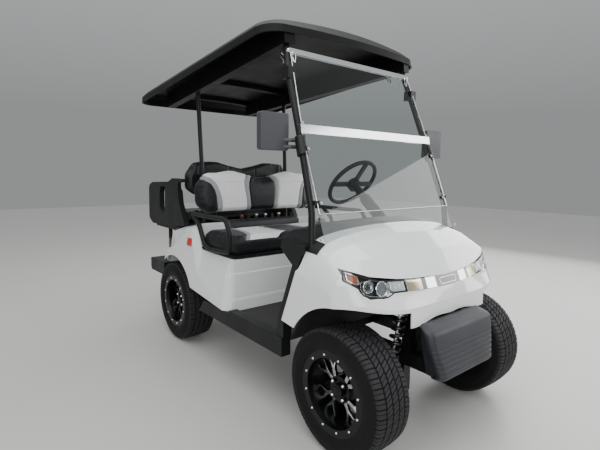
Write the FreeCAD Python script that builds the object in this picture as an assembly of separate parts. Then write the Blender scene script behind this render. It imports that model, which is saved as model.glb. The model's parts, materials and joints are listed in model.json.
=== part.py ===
"""Lifted four-seat electric golf cart: two seats face forward, two face back.

Lengths are in millimetres. The cart faces -Y, +X is its left side, and the floor is at z = 0.
Places along the cart are measured from the front axle, and the last step moves every piece so
that the middle of the cart's length is at y = 0. What stands behind the cabin is placed from the
rear axle, so a longer wheelbase gives a longer floor and leaves the seats as they are.
"""
import FreeCAD, Part
import math
import os
from FreeCAD import Vector

# Whole cart
WHEELBASE = 1747.0
FRONT_OVERHANG = 327.0
REAR_OVERHANG = 638.0
LENGTH = FRONT_OVERHANG + WHEELBASE + REAR_OVERHANG
REAR_END = WHEELBASE + REAR_OVERHANG

# Seats, which set the width of the body
SEAT_HALF = 565.0
REAR_SEAT_HALF = 480.0
CABIN_HALF = SEAT_HALF - 20.0
SILL_OUT = SEAT_HALF + 37.0

# Wheels
TYRE_RADIUS = 292.0
TYRE_WIDTH = 220.0
TRACK_HALF = 492.0
SIDEWALL = 113.0
BEAD_RADIUS = TYRE_RADIUS - SIDEWALL
RIM_LIP = BEAD_RADIUS + 15.0
RIM_OUTER = 98.0
RIM_INNER = 84.0
FLANGE = 8.0
BARREL_WALL = 10.0
BARREL_INSIDE = BEAD_RADIUS - 27.0
CLAWS = 4
# One fork of a claw: angle from the claw's middle and radius at the foot, at the fork and at the two tips
FORK_FOOT = (9.0, 54.0)
FORK_BRANCH = (15.0, 96.0)
FORK_TIPS = ((8.0, 156.0), (29.0, 156.0))
STEM_WIDTH = 15.0
TIP_WIDTH = 7.0
LUG_CIRCLE = 47.0
LUG_RADIUS = 9.0
HUB_RADIUS = 62.0
HUB_THICKNESS = 40.0
HUB_BACK = 30.0
CAP_RADIUS = 32.0
CAP_HEIGHT = 16.0
SPINDLE_RADIUS = 15.0
RUNNING_FIT = 0.05
PRESS_GAP = 0.2
MOVING_GAP = 6.0
SPINDLE_END = TRACK_HALF + HUB_THICKNESS - 4
SHOULDER_END = TRACK_HALF - HUB_BACK - MOVING_GAP

# Front suspension and steering
KINGPIN_X = 430.0
KINGPIN_RADIUS = 10.0
LOWER_BALL_Z = TYRE_RADIUS - 86.0
UPPER_BALL_Z = TYRE_RADIUS + 86.0
BALL_BOSS = 28.0
LOWER_PIVOT_Y = 78.0
UPPER_PIVOT_Y = 60.0
LOWER_PIVOT_Z = TYRE_RADIUS - 67.0
UPPER_PIVOT_Z = 400.0
ARM_RADIUS = 11.0
STEER_ARM = 120.0
STEER_EYE_X = KINGPIN_X - 15.0
RACK_Z = TYRE_RADIUS - 14.0
RACK_RADIUS = 10.0
FRONT_RAIL_X = 165.0
COIL_Y = -95.0
COIL_TURNS = 8
COIL_RADIUS = 34.0
COIL_FOOT_X = 335.0
COIL_HEAD_X = 225.0
COIL_FOOT_Z = LOWER_BALL_Z + 26.0
COIL_HEAD_Z = 655.0

# Steering wheel
WHEEL_PLACE = (290.0, 752.0, 1203.0)
COLUMN_TILT = 40.0
STEERING_RADIUS = 180.0
STEERING_GRIP = 14.0
SHAFT_RADIUS = 9.0

# Frame, floor and sills
RAIL_X = 330.0
RAIL_WIDTH = 50.0
RAIL_LOW = 350.0
RAIL_HIGH = 420.0
MAIN_RAIL_FRONT = 400.0
FRONT_OUTRIGGER_Y = 480.0
CABIN_MEMBER_Y = WHEELBASE - 727.0
JACK_PAD_Y = 800.0
JACK_PAD = (60.0, 60.0, 6.0)
FLOOR_SHEET = 8.0
FLOOR_FRONT = 346.0
FLOOR_REAR = WHEELBASE - 862.0
SILL_FRONT = 352.0
SILL_STEP_Y = WHEELBASE - 859.0
SILL_REAR = (WHEELBASE - 532.0, WHEELBASE - 457.0)
SILL_LOW = 340.0
SILL_TOP = 441.0
BODY_LOW = 426.0

# Rear springs
SPRING_REACH = 330.0
SPRING_ENDS = (WHEELBASE - SPRING_REACH, WHEELBASE + SPRING_REACH)
SPRING_EYE_Z = 306.0
SPRING_MID_Z = TYRE_RADIUS - 66.0
SPRING_SEAT = 3.0
LEAF = 18.0

# Front body
COWL_WALL = 5.0
HOOD_BACK = 190.0
COWL_TAIL = (344.0, 539.0)
ARCH_CENTRE_Y = -60.0
ARCH_CENTRE_Z = TYRE_RADIUS + 33.0
ARCH_RADIUS = TYRE_RADIUS + 76.0
# Station of the cowl's skin: x, then (y, z) at the hood's back edge, hood middle, hood front,
# top of the lamps, bottom of the lamps, knee of the nose and its lower edge
COWL_STATIONS = [
    (0.0, [(200, 1007), (60, 966), (-70, 893), (-176, 795), (-196, 742), (-214, 680), (-208, 606)]),
    (200.0, [(200, 1003), (60, 962), (-66, 890), (-166, 793), (-188, 738), (-212, 680), (-210, 598)]),
    (330.0, [(200, 994), (60, 952), (-54, 888), (-144, 800), (-170, 735), (-204, 682), (-208, 596)]),
    (430.0, [(200, 982), (60, 940), (-38, 886), (-112, 820), (-146, 742), (-176, 690), (-184, 636)]),
    (510.0, [(200, 964), (60, 924), (-22, 878), (-76, 842), (-104, 765), (-130, 705), (-136, 650)]),
    (560.0, [(200, 926), (60, 890), (-10, 860), (-42, 842), (-62, 795), (-82, 715), (-88, 655)]),
    (590.0, [(205, 868), (70, 842), (0, 822), (-26, 808), (-34, 780), (-48, 715), (-54, 655)]),
    (610.0, [(235, 810), (90, 770), (10, 756), (-8, 744), (-14, 730), (-20, 705), (-24, 660)]),
]
# Front view of one headlamp: x, z and the radius of the corner
LAMP_OUTLINE = [(250, 799, 0), (250, 747, 0), (386, 752, 12), (412, 738, 20), (492, 734, 24), (524, 778, 16),
                (574, 812, 8), (566, 860, 4), (469, 826, 60), (330, 805, 60)]
BAND_OUTLINE = [(-249.8, 799), (0, 791), (249.8, 799), (249.8, 747), (0, 741), (-249.8, 747)]

# Bumper
BUMPER_HALF = 262.0
RIB_COUNT = 6
RIB_PITCH = 22.0
RIB_DEPTH = 5.0
BUMPER_LEAN = 42.0 / 185.0

# Rear body, whose stations run (offset from the rear axle, z) from the tail's foot to the tail, the
# deck's back edge, the deck, the ridge, its front top, the back of the seat deck, its front and the foot
BODY_WALL = 5.0
ARCH_INNER = 345.0
REAR_ARCH_Y = WHEELBASE - 57.0
REAR_ARCH_Z = TYRE_RADIUS + 60.0
REAR_ARCH_RADIUS = TYRE_RADIUS + 8.0
DECK_Z = 742.0
BODY_MIDDLE = [(158, 470), (158, 640), (110, 830), (-147, 880), (-317, 908), (-352, 902), (-355, DECK_Z),
               (-845, DECK_Z - 2), (-846, 660), (-851, 653), (-852, 506), (-856, 490), (-857, BODY_LOW)]
BODY_STATIONS = [
    (0.0, BODY_MIDDLE),
    (SEAT_HALF - 65, BODY_MIDDLE),
    (SEAT_HALF - 13, [(158, 480), (153, 640), (83, 810), (-157, 872), (-317, 900), (-352, 894),
                      (-355, DECK_Z), (-840, DECK_Z), (-841, 660), (-846, 653), (-847, 506), (-851, 490),
                      (-852, BODY_LOW)]),
    (SEAT_HALF + 7, [(158, 490), (133, 620), (-7, 790), (-207, 868), (-347, 900), (-412, 896),
                     (-457, 750), (-833, 750), (-834, 660), (-839, 653), (-840, 506), (-844, 490),
                     (-845, BODY_LOW)]),
    (SEAT_HALF + 31, [(158, 500), (103, 610), (-57, 750), (-247, 840), (-347, 866), (-402, 860),
                      (-465, 650), (-812, 648), (-813, 640), (-814, 630), (-815, 506), (-816, 490),
                      (-817, BODY_LOW)]),
    (SEAT_HALF + 45, [(178, 520), (53, 690), (-107, 735), (-277, 780), (-347, 800), (-387, 780),
                      (-447, 600), (-787, 462), (-788, 456), (-789, 450), (-790, 444), (-791, 436),
                      (-792, BODY_LOW)]),
]
HATCH_HALF = 430.0
HATCH_Y = (WHEELBASE - 807.0, WHEELBASE - 417.0)
BATTERY_Y = (WHEELBASE - 817.0, WHEELBASE - 407.0)
BATTERY_TOP = 690.0

# Front seat
SEAT_FRONT = WHEELBASE - 854.0
SEAT_REAR = WHEELBASE - 402.0
SEAT_PAN_LOW = 752.0
SEAT_PAN_HIGH = 762.0
SEAT_TOP = 880.0
LID_PIN_Y = WHEELBASE - 379.0
LID_PIN_Z = 860.0
LID_PIN_RADIUS = 6.0
LID_HINGE_X = (-250.0, 250.0)
BACK_FRONT = WHEELBASE - 334.0
BACK_THICK = 110.0
BACK_LOW = 955.0
BACK_LEAN = 6.9
# Half of each backrest's front view: x, z and the radius of the corner
FRONT_BACK_OUTLINE = [(470, BACK_LOW, 60), (553, 1040, 60), (551, 1170, 60),
                      (480, 1275, 80), (270, 1317, 180), (0, 1262, 160)]
REAR_BACK_OUTLINE = [(430, 1065, 60), (505, 1130, 50), (511, 1230, 50),
                     (440, 1350, 90), (250, 1378, 180), (0, 1326, 160)]
HIP_LOOP_X = SEAT_HALF + 23.0
HIP_LOOP_RADIUS = 16.0
HIP_LOOP_BEND = 50.0
HIP_LOOP_TOP = 984.0
# Side view of the hip loop from its top bar round the front and back under: offset from the rear axle, z
HIP_LOOP_PATH = [(-687, HIP_LOOP_TOP), (-809, HIP_LOOP_TOP), (-859, 905), (-851, 790), (-607, 776),
                 (-521, 800), (-457, 910), (-363, 980)]
BACKREST_BAR = (331.0, (WHEELBASE - 307.0, WHEELBASE - 267.0), (890.0, 915.0))
BACKREST_POSTS = (-300.0, -110.0, 110.0, 300.0)
BUCKLES = (-170.0, -42.0, 42.0, 170.0)

# Rear seat
REAR_BASE_LOW = 806.0
REAR_BASE_HIGH = 838.0
REAR_SEAT_Y = (WHEELBASE + 138.0, WHEELBASE + 573.0)
REAR_BOARD_LOW = 844.0
REAR_BOARD_HIGH = 856.0
REAR_SEAT_TOP = 945.0
BED_PIN_Y = WHEELBASE + 588.0
BED_PIN_Z = 840.0
BED_PIN_RADIUS = 8.0
BED_HINGE_X = (-300.0, 300.0)
REAR_BACK_Y = (WHEELBASE - 35.0, WHEELBASE + 53.0)
SIDE_ARM_X = (REAR_SEAT_HALF + 15.0, REAR_SEAT_HALF + 55.0)
# Side view of the rear arms: offset from the rear axle, z and the radius of the corner
ARM_OUTLINE = [(-99, 867, 20), (328, 830, 200), (560, 832, 60), (REAR_OVERHANG, 872, 30),
               (REAR_OVERHANG - 12, 1150, 50), (540, 1178, 80), (200, 1188, 100), (120, 1216, 60),
               (-64, 1213, 8), (-64, 1190, 8), (15, 1186, 20), (18, 1130, 60), (1, 1030, 60)]
ARM_SLOT = [(357, 1146, 12), (267, 1149, 12), (281, 945, 12), (330, 937, 24), (387, 972, 24), (385, 1096, 40)]
STEP_TOP = 525.0
STEP_Y = (WHEELBASE + TYRE_RADIUS + 21.0, WHEELBASE + 615.0)
STEP_HALF = 540.0
STEP_POST_X = 450.0
STEP_POST_Y = WHEELBASE + 383.0

# Screen and roof
PANE = 5.0
PILLAR_RADIUS = 17.0
STRUT_RADIUS = 16.0
SCREEN_FOOT = 900.0
SCREEN_LOW = (176.0, 1077.0)
SCREEN_FOLD = (324.0, 1468.0)
SCREEN_TOP = (480.0, 1880.0)
ROOF_WALL = 5.0
ROOF_HALF = 606.0
ROOF_FRONT = 440.0
ROOF_REAR = WHEELBASE + 625.0
ROOF_FRONT_Z = 1968.0
ROOF_SLOPE = 4.5
ROOF_EDGE = 68.0
ROOF_CROWN = 32.0
ROOF_CORNER = 120.0
ROOF_BOW = 34.0
# Height above the roof's lower edge and how far in the roof's outline has come there
ROOF_SECTIONS = [(40.0, 4.0), (110.0, 70.0)]
RAIL_FRONT_Y = 452.0
RAIL_REAR_Y = WHEELBASE + 483.0
ROOF_CROSSBARS = (470.0, 1010.0, WHEELBASE - 67.0, WHEELBASE + 440.0)
# Heights of the clips that hold the lower pane, and how far out they start
SCREEN_CLIPS = (1130.0, 1385.0)
CLIP_INSIDE = 500.0
CLIP_HALF = 9.0
# Clamp of the screen on each pillar: its x, y and z
SCREEN_CLAMP = ((466.0, 514.0), (428.0, 486.0), (1735.0, 1793.0))
FOLD_BAR_HALF = 520.0
TOP_BAR_HALF = 474.0


def roof_underside(y):
    """Height of the roof's lower edge at a place along the cart."""
    return ROOF_FRONT_Z - (y - ROOF_FRONT) * math.tan(math.radians(ROOF_SLOPE))


def screen_plane(z):
    """How far back the screen's middle plane is at a height."""
    lean = (SCREEN_FOLD[0] - SCREEN_LOW[0]) / (SCREEN_FOLD[1] - SCREEN_LOW[1])
    return SCREEN_LOW[0] + (z - SCREEN_LOW[1]) * lean


PILLAR_PATH = [(554, 186, 895), (540, 203, 1085), (508, 348, 1475), (491, 457, 1762),
               (466, 514, roof_underside(514) - 39)]
STRUT_PATH = [(394, WHEELBASE - 55, roof_underside(WHEELBASE - 55) + 10), (386, WHEELBASE - 92, 1270),
              (386, WHEELBASE - 101, 850)]


def block(x, y, z):
    """A box from its low and high value along each axis."""
    return Part.makeBox(x[1] - x[0], y[1] - y[0], z[1] - z[0], Vector(x[0], y[0], z[0]))


def side_prism(outline, x):
    """An outline of (y, z) points pushed across the cart from x[0] to x[1]."""
    points = [Vector(x[0], y, z) for y, z in outline]
    return Part.Face(Part.makePolygon(points + points[:1])).extrude(Vector(x[1] - x[0], 0, 0))


def front_prism(outline, y):
    """An outline of (x, z) points pushed along the cart from y[0] to y[1]."""
    points = [Vector(x, y[0], z) for x, z in outline]
    return Part.Face(Part.makePolygon(points + points[:1])).extrude(Vector(0, y[1] - y[0], 0))


def plan_prism(outline, z):
    """An outline of (x, y) points pushed up from z[0] to z[1]."""
    points = [Vector(x, y, z[0]) for x, y in outline]
    return Part.Face(Part.makePolygon(points + points[:1])).extrude(Vector(0, 0, z[1] - z[0]))


def rod(start, end, radius):
    """A round bar between two points."""
    start, end = Vector(*start), Vector(*end)
    return Part.makeCylinder(radius, (end - start).Length, start, end - start)


def across(x, y, z, radius):
    """A round bar along X, from x[0] to x[1]."""
    return rod((x[0], y, z), (x[1], y, z), radius)


def bent_path(points, bend):
    """Straight runs through the points, joined by arcs of one radius that touch both runs."""
    edges = []
    here = Vector(*points[0])
    for before, corner, after in zip(points, points[1:], points[2:]):
        corner = Vector(*corner)
        come = (corner - Vector(*before)).normalize()
        go = (Vector(*after) - corner).normalize()
        half_turn = come.getAngle(go) / 2
        start = corner - come * (bend * math.tan(half_turn))
        end = corner + go * (bend * math.tan(half_turn))
        inward = (go - come).normalize()
        middle = corner + inward * (bend / math.cos(half_turn) - bend)
        edges.append(Part.LineSegment(here, start).toShape())
        edges.append(Part.Arc(start, middle, end).toShape())
        here = end
    edges.append(Part.LineSegment(here, Vector(*points[-1])).toShape())
    return Part.Wire(edges)


def tube(points, radius, bend):
    """A round bar bent along the points."""
    start = Vector(*points[0])
    section = Part.Wire(Part.makeCircle(radius, start, Vector(*points[1]) - start))
    return bent_path(points, bend).makePipeShell([section], True, True)


def fused(first, *others):
    """One solid from pieces that are welded or moulded together."""
    return first.multiFuse(list(others)).removeSplitter()


def mirrored(shape):
    """The same piece on the cart's other side."""
    return shape.mirror(Vector(0, 0, 0), Vector(1, 0, 0))


def pair(shape):
    """A left piece with its right-hand twin."""
    return Part.Compound(list(shape.Solids) + list(mirrored(shape).Solids))


def biggest(shape):
    """The main solid of a cut shape."""
    return max(shape.Solids, key=lambda solid: solid.Volume)


def skin_inside(chain, wall):
    """An open chain of (y, z) points moved inward by the wall, its two ends run on past the opening."""
    run_on = 60.0
    offsets = []
    for (y0, z0), (y1, z1) in zip(chain, chain[1:]):
        length = math.hypot(y1 - y0, z1 - z0)
        offsets.append(((y1 - y0) / length, (z1 - z0) / length))
    inside = []
    for index, (y, z) in enumerate(chain):
        before = offsets[max(index - 1, 0)]
        after = offsets[min(index, len(offsets) - 1)]
        normals = [(before[1], -before[0]), (after[1], -after[0])]
        spread = 1 + normals[0][0] * normals[1][0] + normals[0][1] * normals[1][1]
        shift_y = wall * (normals[0][0] + normals[1][0]) / spread
        shift_z = wall * (normals[0][1] + normals[1][1]) / spread
        inside.append((y - shift_y, z - shift_z))
    first, last = inside[0], inside[-1]
    inside[0] = (first[0] - offsets[0][0] * run_on, first[1] - offsets[0][1] * run_on)
    inside[-1] = (last[0] + offsets[-1][0] * run_on, last[1] + offsets[-1][1] * run_on)
    return inside


def cross_loft(stations, ruled=True):
    """A skin through (y, z) outlines at rising x, mirrored to the other side."""
    sections = [(-x, outline) for x, outline in reversed(stations) if x > 0] + list(stations)
    wires = []
    for x, outline in sections:
        points = [Vector(x, y, z) for y, z in outline]
        wires.append(Part.makePolygon(points + points[:1]))
    return Part.makeLoft(wires, True, ruled)


def revolved(outline, centre_x, y, z):
    """An outline of (x, radius) points turned round a line along X through (y, z)."""
    points = [Vector(centre_x + x, y, z + radius) for x, radius in outline]
    face = Part.Face(Part.makePolygon(points + points[:1]))
    return face.revolve(Vector(0, y, z), Vector(1, 0, 0), 360)


def rounded(corners, place):
    """A closed outline of (u, v, corner radius) points, laid out in space by place(u, v)."""
    edges = []
    count = len(corners)
    stops = []
    for index, (u, v, radius) in enumerate(corners):
        corner = Vector(u, v, 0)
        before = Vector(*corners[index - 1][:2], 0)
        after = Vector(*corners[(index + 1) % count][:2], 0)
        come = (corner - before).normalize()
        go = (after - corner).normalize()
        half_turn = come.getAngle(go) / 2
        start = corner - come * (radius * math.tan(half_turn))
        end = corner + go * (radius * math.tan(half_turn))
        inward = (go - come).normalize()
        middle = corner + inward * (radius / math.cos(half_turn) - radius)
        stops.append((start, middle, end, radius))
    for index, (start, middle, end, radius) in enumerate(stops):
        if radius:
            edges.append(Part.Arc(place(start), place(middle), place(end)).toShape())
        edges.append(Part.LineSegment(place(end), place(stops[(index + 1) % count][0])).toShape())
    return Part.Face(Part.Wire(edges))


def rounded_side(corners, x):
    """An outline of (y, z, radius) corners pushed across the cart from x[0] to x[1]."""
    face = rounded(corners, lambda point: Vector(x[0], point.x, point.y))
    return face.extrude(Vector(x[1] - x[0], 0, 0))


def rounded_front(corners, y):
    """An outline of (x, z, radius) corners pushed along the cart from y[0] to y[1]."""
    face = rounded(corners, lambda point: Vector(point.x, y[0], point.y))
    return face.extrude(Vector(0, y[1] - y[0], 0))


# Wheels, worked out for the left side and mirrored for the right

def tyre(y):
    """Road tyre with a round shoulder, closed on the rim's bead seats."""
    half = TYRE_WIDTH / 2
    inner_bead, outer_bead = -RIM_INNER + FLANGE, RIM_OUTER - FLANGE
    # Distance from the middle plane and depth below the tread
    sidewall = [(half - 6, 78), (half, 52), (half - 6, 30), (half - 20, 12), (half - 50, 2)]
    right = [(-x, TYRE_RADIUS - depth) for x, depth in sidewall]
    left = [(x, TYRE_RADIUS - depth) for x, depth in reversed(sidewall)]
    outline = [(inner_bead, BEAD_RADIUS), (inner_bead, RIM_LIP + 4)] + right + left
    outline += [(outer_bead, RIM_LIP + 4), (outer_bead, BEAD_RADIUS)]
    return revolved(outline, TRACK_HALF, y, TYRE_RADIUS)


def fork_limb(hub_face, way, tip):
    """One prong of a claw: from the hub along the shared stem to the fork, then out to the barrel."""
    stops = []
    for (angle, radius), width, sink in ((FORK_FOOT, STEM_WIDTH, 2), (FORK_BRANCH, STEM_WIDTH * 0.8, 5),
                                         (tip, TIP_WIDTH, 14)):
        turn = math.radians(way * angle)
        across_y, out_z = math.cos(turn) * width / 2, math.sin(turn) * width / 2
        y, z = -math.sin(turn) * radius, math.cos(turn) * radius
        high, low = hub_face - sink, hub_face - sink - 16
        corners = [Vector(high, y - across_y, z - out_z), Vector(high, y + across_y, z + out_z),
                   Vector(low, y + across_y, z + out_z), Vector(low, y - across_y, z - out_z)]
        stops.append(Part.makePolygon(corners + corners[:1]))
    return Part.makeLoft(stops, True, True)


def rim(y):
    """Deep barrel with a ring at the outer lip, a hub, and four claws of forked prongs as spokes."""
    seat = BEAD_RADIUS - PRESS_GAP
    well = BARREL_INSIDE + BARREL_WALL
    barrel = revolved([(-RIM_INNER, RIM_LIP), (-RIM_INNER + FLANGE, RIM_LIP), (-RIM_INNER + FLANGE, seat),
                       (-52, seat), (-42, well), (52, well), (62, seat), (RIM_OUTER - FLANGE, seat),
                       (RIM_OUTER - FLANGE, RIM_LIP), (RIM_OUTER, RIM_LIP), (RIM_OUTER, BARREL_INSIDE + 6),
                       (RIM_OUTER - 16, BARREL_INSIDE + 2), (RIM_OUTER - 24, BARREL_INSIDE),
                       (-50, BARREL_INSIDE), (-62, BEAD_RADIUS - 11), (-RIM_INNER, BEAD_RADIUS - 9)],
                      TRACK_HALF, y, TYRE_RADIUS)
    hub_face = TRACK_HALF + HUB_THICKNESS
    hub = across((TRACK_HALF - HUB_BACK, TRACK_HALF), y, TYRE_RADIUS, HUB_RADIUS * 0.7)
    disc = across((TRACK_HALF, hub_face), y, TYRE_RADIUS, HUB_RADIUS)
    cap = across((hub_face, hub_face + CAP_HEIGHT), y, TYRE_RADIUS, CAP_RADIUS)
    claws = []
    for claw in range(CLAWS):
        middle = (claw + 0.5) * 360 / CLAWS
        lug = rod((hub_face, 0, LUG_CIRCLE), (hub_face + 10, 0, LUG_CIRCLE), LUG_RADIUS)
        lug.rotate(Vector(0, 0, 0), Vector(1, 0, 0), middle)
        claws.append(lug)
        for way in (-1, 1):
            for tip in FORK_TIPS:
                limb = fork_limb(hub_face, way, tip)
                limb.rotate(Vector(0, 0, 0), Vector(1, 0, 0), middle)
                claws.append(limb)
    for piece in claws:
        piece.translate(Vector(0, y, TYRE_RADIUS))
    whole = fused(barrel, hub, disc, cap, *claws)
    return whole.cut(across((0, hub_face + 1), y, TYRE_RADIUS, SPINDLE_RADIUS + RUNNING_FIT))


def knuckle():
    """Upright that turns on the kingpin and carries the front wheel and the steering arm."""
    low = LOWER_BALL_Z + MOVING_GAP
    high = UPPER_BALL_Z - MOVING_GAP
    barrel = rod((KINGPIN_X, 0, low), (KINGPIN_X, 0, high), 2 * KINGPIN_RADIUS)
    shoulder = across((KINGPIN_X, SHOULDER_END), 0, TYRE_RADIUS, 1.6 * SPINDLE_RADIUS)
    spindle = across((KINGPIN_X, SPINDLE_END), 0, TYRE_RADIUS, SPINDLE_RADIUS)
    dust_plate = across((KINGPIN_X + 17, KINGPIN_X + 22), 0, TYRE_RADIUS, 74)
    arm_low = RACK_Z - 28
    arm_high = RACK_Z - RACK_RADIUS - 0.5
    arm = plan_prism([(KINGPIN_X - 14, 0), (KINGPIN_X + 14, 0), (STEER_EYE_X + 13, STEER_ARM),
                      (STEER_EYE_X - 13, STEER_ARM)], (arm_low, arm_high))
    eye = rod((STEER_EYE_X, STEER_ARM, arm_low), (STEER_EYE_X, STEER_ARM, arm_high), 15)
    whole = fused(barrel, shoulder, spindle, dust_plate, arm, eye)
    bore = rod((KINGPIN_X, 0, low - 1), (KINGPIN_X, 0, high + 1), KINGPIN_RADIUS + RUNNING_FIT)
    return whole.cut(bore)


def tie_rod():
    """Rack bar with a ball end over each steering arm."""
    ends = []
    for x in (-STEER_EYE_X, STEER_EYE_X):
        ends.append(rod((x, STEER_ARM, RACK_Z - RACK_RADIUS), (x, STEER_ARM, RACK_Z + RACK_RADIUS), 14))
    bar = across((-STEER_EYE_X, STEER_EYE_X), STEER_ARM, RACK_Z, RACK_RADIUS)
    return fused(bar, *ends)


def rack_housing():
    """Tube that guides the rack, hung from the front rails."""
    half = FRONT_RAIL_X - RAIL_WIDTH / 2 + 12
    radius = 22
    housing = across((-half, half), STEER_ARM, RACK_Z, radius)
    plates = []
    for x in ((-half, -half + 12), (half - 12, half)):
        plates.append(block(x, (STEER_ARM - radius, STEER_ARM + radius), (RACK_Z, RAIL_LOW)))
    whole = fused(housing, *plates)
    return whole.cut(across((-half - 1, half + 1), STEER_ARM, RACK_Z, RACK_RADIUS + RUNNING_FIT))


def control_arms(frame):
    """Lower and upper arm of each front wheel, with the kingpin between their ends."""
    solids = []
    for ball_z, ball_span, pivot_y, pivot_z in ((LOWER_BALL_Z, -BALL_BOSS, LOWER_PIVOT_Y, LOWER_PIVOT_Z),
                                                (UPPER_BALL_Z, BALL_BOSS, UPPER_PIVOT_Y, UPPER_PIVOT_Z)):
        ball_mid = ball_z + ball_span / 2
        boss = rod((KINGPIN_X, 0, ball_z), (KINGPIN_X, 0, ball_z + ball_span), 22)
        legs = [rod((FRONT_RAIL_X, y, pivot_z), (KINGPIN_X, 0, ball_mid), ARM_RADIUS)
                for y in (-pivot_y, pivot_y)]
        arm = fused(boss, *legs)
        if pivot_z == LOWER_PIVOT_Z:
            arm = fused(arm, block((COIL_FOOT_X - 16, COIL_FOOT_X + 16), (COIL_Y - 14, -20),
                                   (LOWER_BALL_Z - 4, COIL_FOOT_Z)))
        solids.append(biggest(arm.cut(frame)))
    solids.append(rod((KINGPIN_X, 0, LOWER_BALL_Z), (KINGPIN_X, 0, UPPER_BALL_Z), KINGPIN_RADIUS))
    return Part.Compound([copy for solid in solids for copy in (solid, mirrored(solid))])


def coilover():
    """Damper with its spring drawn as stacked rounds, a foot on the lower arm and a head in the tower."""
    length = COIL_HEAD_Z - COIL_FOOT_Z
    low, high = 90.0, length - 45.0
    pitch = (high - low) / COIL_TURNS
    rod_radius, damper_radius = 9.0, 19.0
    outline = [(0.0, 0.0), (rod_radius, 0.0), (rod_radius, 40.0), (damper_radius, 40.0), (damper_radius, low)]
    for turn in range(COIL_TURNS):
        base = low + turn * pitch
        for radius, share in ((COIL_RADIUS - 4, 0.12), (COIL_RADIUS, 0.3), (COIL_RADIUS, 0.5),
                              (COIL_RADIUS - 4, 0.68), (damper_radius + 1, 0.74), (damper_radius + 1, 0.98)):
            outline.append((radius, base + share * pitch))
    outline += [(COIL_RADIUS, high), (COIL_RADIUS, high + 8), (14.0, high + 8), (14.0, length), (0.0, length)]
    points = [Vector(radius, 0, height) for radius, height in outline]
    body = Part.Face(Part.makePolygon(points + points[:1])).revolve(Vector(0, 0, 0), Vector(0, 0, 1), 360)
    lean = math.degrees(math.atan2(COIL_HEAD_X - COIL_FOOT_X, length))
    body.rotate(Vector(0, 0, 0), Vector(0, 1, 0), lean)
    body.translate(Vector(COIL_FOOT_X, COIL_Y, COIL_FOOT_Z))
    across_y = (COIL_Y - 12, COIL_Y + 12)
    foot = block((COIL_FOOT_X - 16, COIL_FOOT_X + 16), across_y, (COIL_FOOT_Z, COIL_FOOT_Z + 24))
    head = block((COIL_HEAD_X - 18, COIL_HEAD_X + 18), across_y, (COIL_HEAD_Z - 24, COIL_HEAD_Z))
    inside = block((0, 900), (-300, 300), (COIL_FOOT_Z, COIL_HEAD_Z))
    return fused(body, foot, head).common(inside)


# Frame

def frame(bumper):
    """Welded rails, cross members, spring towers, hangers and jack pads."""
    parts = []
    half = RAIL_WIDTH / 2
    rails = (RAIL_LOW, RAIL_HIGH)
    hanger = 6
    for side in (-1, 1):
        main = sorted((side * (RAIL_X - half), side * (RAIL_X + half)))
        front = sorted((side * (FRONT_RAIL_X - half), side * (FRONT_RAIL_X + half)))
        parts.append(block(main, (MAIN_RAIL_FRONT, STEP_Y[1] - 62), rails))
        parts.append(block(front, (-310, MAIN_RAIL_FRONT + 50), rails))
        for y in (-LOWER_PIVOT_Y, LOWER_PIVOT_Y):
            parts.append(block(front, (y - 16, y + 16), (LOWER_PIVOT_Z - 18, RAIL_LOW)))
        parts.append(block(front, (COIL_Y - 22, COIL_Y + 22), (RAIL_HIGH, COIL_HEAD_Z)))
        reach = sorted((side * (FRONT_RAIL_X - half), side * (COIL_HEAD_X + 22)))
        parts.append(block(reach, (COIL_Y - 22, COIL_Y + 22), (COIL_HEAD_Z, COIL_HEAD_Z + 8)))
        out = sorted((side * (RAIL_X - half), side * CABIN_HALF))
        for y in (FRONT_OUTRIGGER_Y, CABIN_MEMBER_Y):
            parts.append(block(out, (y, y + 40), rails))
        for y in SPRING_ENDS:
            for near, far in ((-half - hanger, -half), (half, half + hanger)):
                cheek = sorted((side * (RAIL_X + near), side * (RAIL_X + far)))
                parts.append(block(cheek, (y - 20, y + 20), (SPRING_EYE_Z - 16, RAIL_LOW)))
            cap = sorted((side * (RAIL_X - half - hanger), side * (RAIL_X + half + hanger)))
            parts.append(block(cap, (y - 20, y + 20), (RAIL_LOW - 4, RAIL_LOW)))
        pad_x = sorted((side * (RAIL_X - JACK_PAD[0] / 2), side * (RAIL_X + JACK_PAD[0] / 2)))
        pad_y = (JACK_PAD_Y - JACK_PAD[1] / 2, JACK_PAD_Y + JACK_PAD[1] / 2)
        parts.append(block(pad_x, pad_y, (RAIL_LOW - JACK_PAD[2], RAIL_LOW)))
    full = (-RAIL_X - half, RAIL_X + half)
    for y in (MAIN_RAIL_FRONT, CABIN_MEMBER_Y, STEP_Y[1] - 112):
        parts.append(block(full, (y, y + 50), rails))
    narrow = (-FRONT_RAIL_X - half, FRONT_RAIL_X + half)
    parts.append(block(narrow, (-190, -150), rails))
    return biggest(fused(*parts).cut(bumper))


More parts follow.
